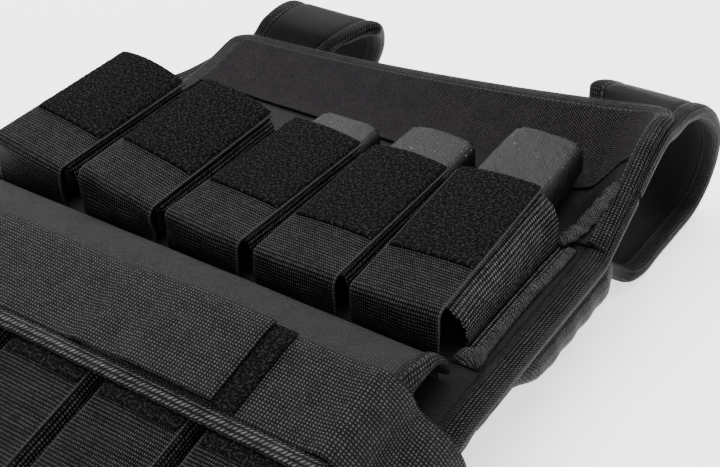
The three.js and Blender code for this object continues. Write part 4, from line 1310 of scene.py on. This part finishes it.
@dataclass
class WaistBelt:
    """Two tapes that close over the lower row's flap."""

    flap: ClosedFlap
    panels: Panels
    top: float = -44.0
    width: float = 49.0
    thick: float = 2.0
    over_end: float = 86.0
    under_end: float = 6.0
    hook_length: float = 60.0
    hook_reach: float = 12.0
    hook_thick: float = 1.4
    step: float = 14.0
    tuck: float = 34.0
    side: float = 7.0
    turn: float = 3.0
    sag_share: float = 0.7
    samples: int = 12
    spacing: float = 2.5
    side_way: Rows = (
        (0.2, 0.93), (0.7, 0.8), (0.96, 0.62), (1.0, 0.42), (0.93, 0.2), (0.7, 0.05))

    @staticmethod
    def row(x: float, y: Array, z: Array) -> Array:
        """Points in a row along the vest, at one place across."""
        return np.stack([np.full_like(y, x), y, z], axis=1)

    def face(self, x: float, y: Array, up: float) -> Array:
        """A row of points over the flap."""
        return self.row(x, y, self.flap.height(self.flap.root - y) + up)

    def way_down(self, y: Array, sign: int) -> list[Array]:
        """Rows of points down one side and under the back panel."""
        flap_end = self.flap.width / 2
        widest = S.front_width / 2 + self.side
        high = self.flap.height(self.flap.root - y) - self.flap.sag
        low = self.panels.back_under(y) - S.gap - self.thick
        binding = 2 * self.flap.proud + S.gap
        edge = sign * S.back_width / 2 + S.back_shift
        return [self.face(sign * (S.pocket_end - self.step), y, S.gap),
                self.face(sign * S.pocket_end, y, binding),
                self.face(sign * flap_end, y, binding - self.flap.sag * self.sag_share),
                *(self.row(sign * mix(flap_end, widest, out), y, mix(low, high, height))
                  for out, height in self.side_way),
                *(self.row(edge + sign * reach, y, low) for reach in (self.turn, -self.tuck))]

    def tape(self, name: str, rows: list[Array], y: Array, thick: float) -> tuple[Piece, float]:
        """A tape that lies over rows of points.

        Args:
            name: Name of the piece.
            rows: Its way, as rows of points across the tape.
            y: Places of a row's points.
            thick: Thickness.

        Returns:
            The new object and its length.
        """
        way = np.stack(rows)
        middle = spline(way, 1 + self.samples * (len(way) - 1))
        along = run_length(middle[:, len(y) // 2])
        even = np.linspace(0, along[-1], int(run_length(way[:, len(y) // 2])[-1] / self.spacing))
        middle = np.stack([np.stack([np.interp(even, along, middle[:, i, c]) for c in range(3)], axis=1)
                           for i in range(len(y))], axis=1)
        middle = middle + upward_normals(middle) * thick / 2
        uv = np.stack(np.meshgrid(y[0] - y, even), axis=2)
        return soft_wall(name, middle, uv, thick * rims(y[0] - y, even, 1.0)), float(even[-1])

    def build(self, wardrobe: Wardrobe) -> None:
        """Builds the belt."""
        y = self.top - spaced(self.width, 1.0, 3.5)
        on_under = 2 * S.gap + self.thick
        on_hook = on_under + S.gap + self.hook_thick
        end = self.over_end + self.hook_reach
        start = end - self.hook_length
        free = self.under_end - S.gap
        under = [self.face(self.under_end + step, y, S.gap) for step in (0, 30, 60, 90)]
        over = [self.face(x, y, up) for x, up in (
            (self.over_end, on_hook), (mix(self.over_end, start, 0.5), on_hook), (start - S.gap, on_hook),
            (start - S.gap - self.step, on_under), (free, on_under), (free - self.step, S.gap),
            (-S.pocket_end / 3, S.gap), (-S.pocket_end / 1.5, S.gap))]
        hook = [self.face(x, y, on_under) for x in np.linspace(start, end, 4)]
        for name, rows, thick, finish, node, below in (
                ("belt_lower_tape", under + self.way_down(y, 1), self.thick, Finish.BELT, "belt_under",
                 ["closed_flap_cloth"]),
                ("belt_upper_tape", over + self.way_down(y, -1), self.thick, Finish.BELT, "belt_over",
                 ["closed_flap_cloth", "belt_hook_tape"]),
                ("belt_hook_tape", hook, self.hook_thick, Finish.FUZZ, "belt_hook", ["belt_lower_tape"])):
            piece, length = self.tape(name, rows, y, thick)
            wardrobe.dress(piece, finish, node)


RIGHT_LOOP = (
    (0.59, 0.88, -0.01, 0.05), (0.71, 0.84, 0.04, 0.0), (0.84, 0.73, 0.07, 0.0), (0.94, 0.58, 0.08, 0.0),
    (0.99, 0.42, 0.06, 0.0), (1.0, 0.26, 0.03, 0.0), (0.95, 0.12, 0.0, 0.0), (0.84, 0.03, -0.03, 0.0),
    (0.66, 0.012, -0.05, 0.0), (0.46, 0.012, -0.06, 0.0), (0.29, 0.016, -0.06, 0.0),
    (0.16, 0.05, -0.09, 0.0), (0.05, 0.14, -0.16, 0.0))
LEFT_LOOP = (
    (0.58, 0.72, 0.85, 0.1), (0.68, 0.78, 0.98, 0.18), (0.77, 0.77, 1.04, 0.2), (0.85, 0.67, 1.0, 0.18),
    (0.9, 0.53, 0.94, 0.14), (0.91, 0.38, 0.86, 0.08), (0.88, 0.22, 0.76, 0.04), (0.78, 0.08, 0.66, 0.0),
    (0.62, 0.015, 0.6, 0.0), (0.45, 0.03, 0.56, 0.0), (0.28, 0.1, 0.54, 0.0))


@dataclass
class ShoulderLoop:
    """A padded strap from the front panel over the shoulder to the back panel.

    The way's rows hold the reach, height, sideways shift and widening as shares.
    """

    name: str
    node: str
    sign: int
    way: Rows
    width: float = 62.0
    thick: float = 9.0
    reach: float = 122.0
    rise: float = 110.0
    tape: float = 10.0
    root_share: float = 0.34
    leave_share: float = 0.7
    dip: float = 1.2
    dip_length: float = 20.0
    rim: float = 3.5
    samples: int = 150

    def stations(self) -> tuple[Array, Array]:
        """Middle points of the strap's outer face and its half widths, with the lying part first."""
        half = self.width / 2
        start = self.sign * (S.front_width / 2 - half)
        leave = S.flap_root + S.flap_reach + 3.0
        rows = []
        for y in np.linspace(S.front_top + S.gap, leave, 6):
            past = (y - S.front_top) / (leave - S.front_top)
            share = 0.0 if self.sign > 0 else mix(self.root_share, self.leave_share, past)
            rows.append((start + share * self.width, y, -1.0, half))
        for reach, height, shift, widen in self.way:
            rows.append((start + shift * self.width, S.front_top + reach * self.reach,
                         height * self.rise, half * (1 + widen)))
        back = self.sign * (S.back_width / 2 - half) + S.back_shift
        rows.append((back, S.back_top + S.gap, S.back_depth, half))
        return np.array(rows)

    def build(self, wardrobe: Wardrobe) -> None:
        """Builds the strap."""
        rows = self.stations()
        near = 2 * np.array([self.tape - 1.2, self.tape, self.tape + 1.2]) / self.width
        share = np.unique(np.round(np.concatenate([
            2 * spaced(self.width, self.rim, 3.0) / self.width - 1, 1 - near, near - 1]), 5))
        x = rows[:, 0:1] + share[None, :] * rows[:, 3:4]
        y = np.repeat(rows[:, 1:2], len(share), axis=1)
        lies = rows[:, 2:3] < 0
        dip = self.dip * ease((y - S.front_top) / self.dip_length)
        z = np.where(lies, cover(x, y) - dip, rows[:, 2:3])
        outer = spline(np.stack([x, y, z], axis=2), self.samples)
        along = run_length(outer[:, len(share) // 2])
        normal = upward_normals(outer)
        reach = (share + 1) / 2 * self.width
        edge = np.minimum(reach, self.width - reach)
        body = self.thick * swell(reach, self.width, self.rim)
        groove = 1.6 * np.exp(-(((edge - self.tape) / 1.3) ** 2))
        roll = 0.5 * np.exp(-(((edge - self.tape / 2) / 3.0) ** 2))
        crease = 0.45 * wobble(along[:, None], reach[None, :] * 0.6, 11.0, 4.0 + self.sign)
        thick = (body - groove + roll)[None, :] + crease * np.clip(edge / 6.0, 0, 1)[None, :]
        thick = thick * swell(along, along[-1], 3.0)[:, None]
        middle = outer - normal * self.thick / 2
        offset = normal * thick[..., None] / 2
        uv = np.stack(np.meshgrid(edge, along), axis=2)
        piece = closed_wall(self.name, middle + offset, middle - offset, uv)
        wardrobe.dress(piece, Finish.LINING, self.node)
        self.tape_faces(piece, wardrobe)

    def tape_faces(self, piece: Piece, wardrobe: Wardrobe) -> None:
        """Gives the faces near both edges the edge tape's finish."""
        mesh = piece.data
        mesh.materials.append(wardrobe.materials[Finish.TRIM])
        layer = mesh.uv_layers["cloth"].data
        for face in mesh.polygons:
            reach = sum(layer[k].uv[0] for k in face.loop_indices) / len(face.loop_indices)
            if reach < self.tape:
                face.material_index = 1


@dataclass
class BackFlap:
    """The closed flap over the back pockets, on which the vest lies."""

    width: float = 284.0
    root: float = 9.0
    reach: float = 78.0
    flat_length: float = 108.0
    rise: Rows = ((0.0, 0.0), (0.02, 0.6), (0.05, 0.9), (0.1, 1.0), (1.0, 1.0))

    def build(self, wardrobe: Wardrobe, to_vest: Callable[[Array], Array]) -> None:
        """Builds the flap in the back row's frame."""
        length = self.root + self.reach

        def place(u: Array, v: Array) -> Array:
            height = table(self.rise, v / length)
            y = S.pocket_length + self.root - v
            h = S.gap + height * S.strip_over + S.flap_thick / 2
            return to_vest(np.stack([u, y, h], axis=2))

        cloth = cut_sheet("back_flap_cloth", place, self.width, length, S.flap_thick, 0.0, 1.0, 2.5)
        wardrobe.dress(cloth, Finish.FLAP, "back_flap")


@dataclass
class Studio:
    """Camera, pale floor and soft lights."""

    place: Triple = (371.9058, -379.5066, 453.8307)
    right: Triple = (0.82892327, 0.55834104, -0.03378601)
    up: Triple = (-0.3033798, 0.49950531, 0.81145249)
    lens: float = 62.5
    aim: Triple = (0.02, 0.02, 0.05)
    sky: float = 0.85
    floor_glow: float = 1.4
    lights: Sequence[tuple[str, Triple, float, float]] = (
        ("top_light", (-0.25, 0.35, 2.0), 2.2, 95.0),
        ("back_light", (-1.3, 1.2, 1.1), 0.9, 16.0),
        ("front_light", (1.1, -1.5, 1.2), 1.2, 12.0))

    def camera(self) -> None:
        """Places the camera as the photo's."""
        data = bpy.data.cameras.new("studio_camera")
        data.lens = self.lens
        data.sensor_width = 36.0
        data.clip_start = 0.01
        camera = bpy.data.objects.new("studio_camera", data)
        right, up = mathutils.Vector(self.right), mathutils.Vector(self.up)
        matrix = mathutils.Matrix((right, up, right.cross(up))).transposed().to_4x4()
        matrix.translation = mathutils.Vector(((np.array(self.place) + VEST_ORIGIN) * MM).tolist())
        camera.matrix_world = matrix
        bpy.context.scene.collection.objects.link(camera)
        bpy.context.scene.camera = camera

    def light(self, name: str, place: Triple, size: float, power: float) -> None:
        """A square soft light that looks at the vest."""
        data = bpy.data.lights.new(name, "AREA")
        data.shape = "SQUARE"
        data.size = size
        data.energy = power
        lamp = bpy.data.objects.new(name, data)
        lamp.location = place
        aim = mathutils.Vector(self.aim) - lamp.location
        lamp.rotation_euler = aim.to_track_quat("-Z", "Y").to_euler()
        bpy.context.scene.collection.objects.link(lamp)

    def floor(self) -> None:
        """A pale floor."""
        deselect()
        bpy.ops.mesh.primitive_plane_add(size=12.0)
        floor = bpy.context.active_object
        floor.name = "studio_floor"
        material = bpy.data.materials.new("pale_floor")
        material.use_nodes = True
        shader = material.node_tree.nodes["Principled BSDF"]
        for key, value in (("Base Color", (0.95, 0.95, 0.95, 1.0)), ("Roughness", 0.9),
                           ("Emission Color", (1.0, 1.0, 1.0, 1.0)),
                           ("Emission Strength", self.floor_glow)):
            shader.inputs[key].default_value = value
        floor.data.materials.append(material)

    def build(self) -> None:
        """Sets the studio up."""
        self.floor()
        for name, place, size, power in self.lights:
            self.light(name, place, size, power)
        world = bpy.data.worlds.new("studio_world")
        world.use_nodes = True
        sky = world.node_tree.nodes["Background"].inputs
        sky["Color"].default_value = (1.0, 1.0, 1.0, 1.0)
        sky["Strength"].default_value = self.sky
        bpy.context.scene.world = world


def upper_frame(points: Array) -> Array:
    """Upper row's frame to the vest's."""
    return points + np.array([0.0, 0.0, S.front_level])


def lower_frame(points: Array) -> Array:
    """Lower row's frame to the vest's."""
    cos, sin = math.cos(S.droop_angle), math.sin(S.droop_angle)
    y = points[..., 1] * cos - points[..., 2] * sin - S.row_pitch
    z = points[..., 1] * sin + points[..., 2] * cos + S.front_level + float(droop(-S.row_pitch))
    return np.stack([points[..., 0], y, z], axis=-1)


def back_frame(points: Array) -> Array:
    """Back row's frame to the vest's, with its fronts down."""
    return np.stack([S.back_shift - points[..., 0], points[..., 1] + S.back_row_bottom,
                     S.back_depth - points[..., 2]], axis=-1)


def main() -> None:
    """Builds the studio and the vest."""
    logging.basicConfig(level=logging.INFO, format="%(name)s %(message)s")
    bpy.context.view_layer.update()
    studio = Studio()
    studio.camera()
    wardrobe = Wardrobe()
    panels = Panels()
    panels.build(wardrobe)
    plain = [Pocket()] * S.pockets
    lower = [Pocket(across=-0.13, crown=1.6, dent=0.8 + 0.5 * (k % 3)) for k in range(S.pockets)]
    upper = PocketRow("upper", UPPER_POCKETS, upper_frame)
    upper.build(wardrobe)
    for sign in (1, -1):
        upper.edge_stitching(wardrobe, sign)
    PocketRow("lower", lower, lower_frame, loop_length=50.0).build(wardrobe)
    PocketRow("back", plain, back_frame, flange=4.3, patches=False).build(wardrobe)
    BackFlap().build(wardrobe, back_frame)
    ShoulderLoop("right_loop_pad", "strap_right", 1, RIGHT_LOOP).build(wardrobe)
    ShoulderLoop("left_loop_pad", "strap_left", -1, LEFT_LOOP).build(wardrobe)
    OpenFlap().build(wardrobe)
    closed = ClosedFlap()
    closed.build(wardrobe)
    WaistBelt(closed, panels).build(wardrobe)
    bpy.data.meshes.remove(wardrobe.blank)
    studio.build()


if __name__ == "__main__":
    main()
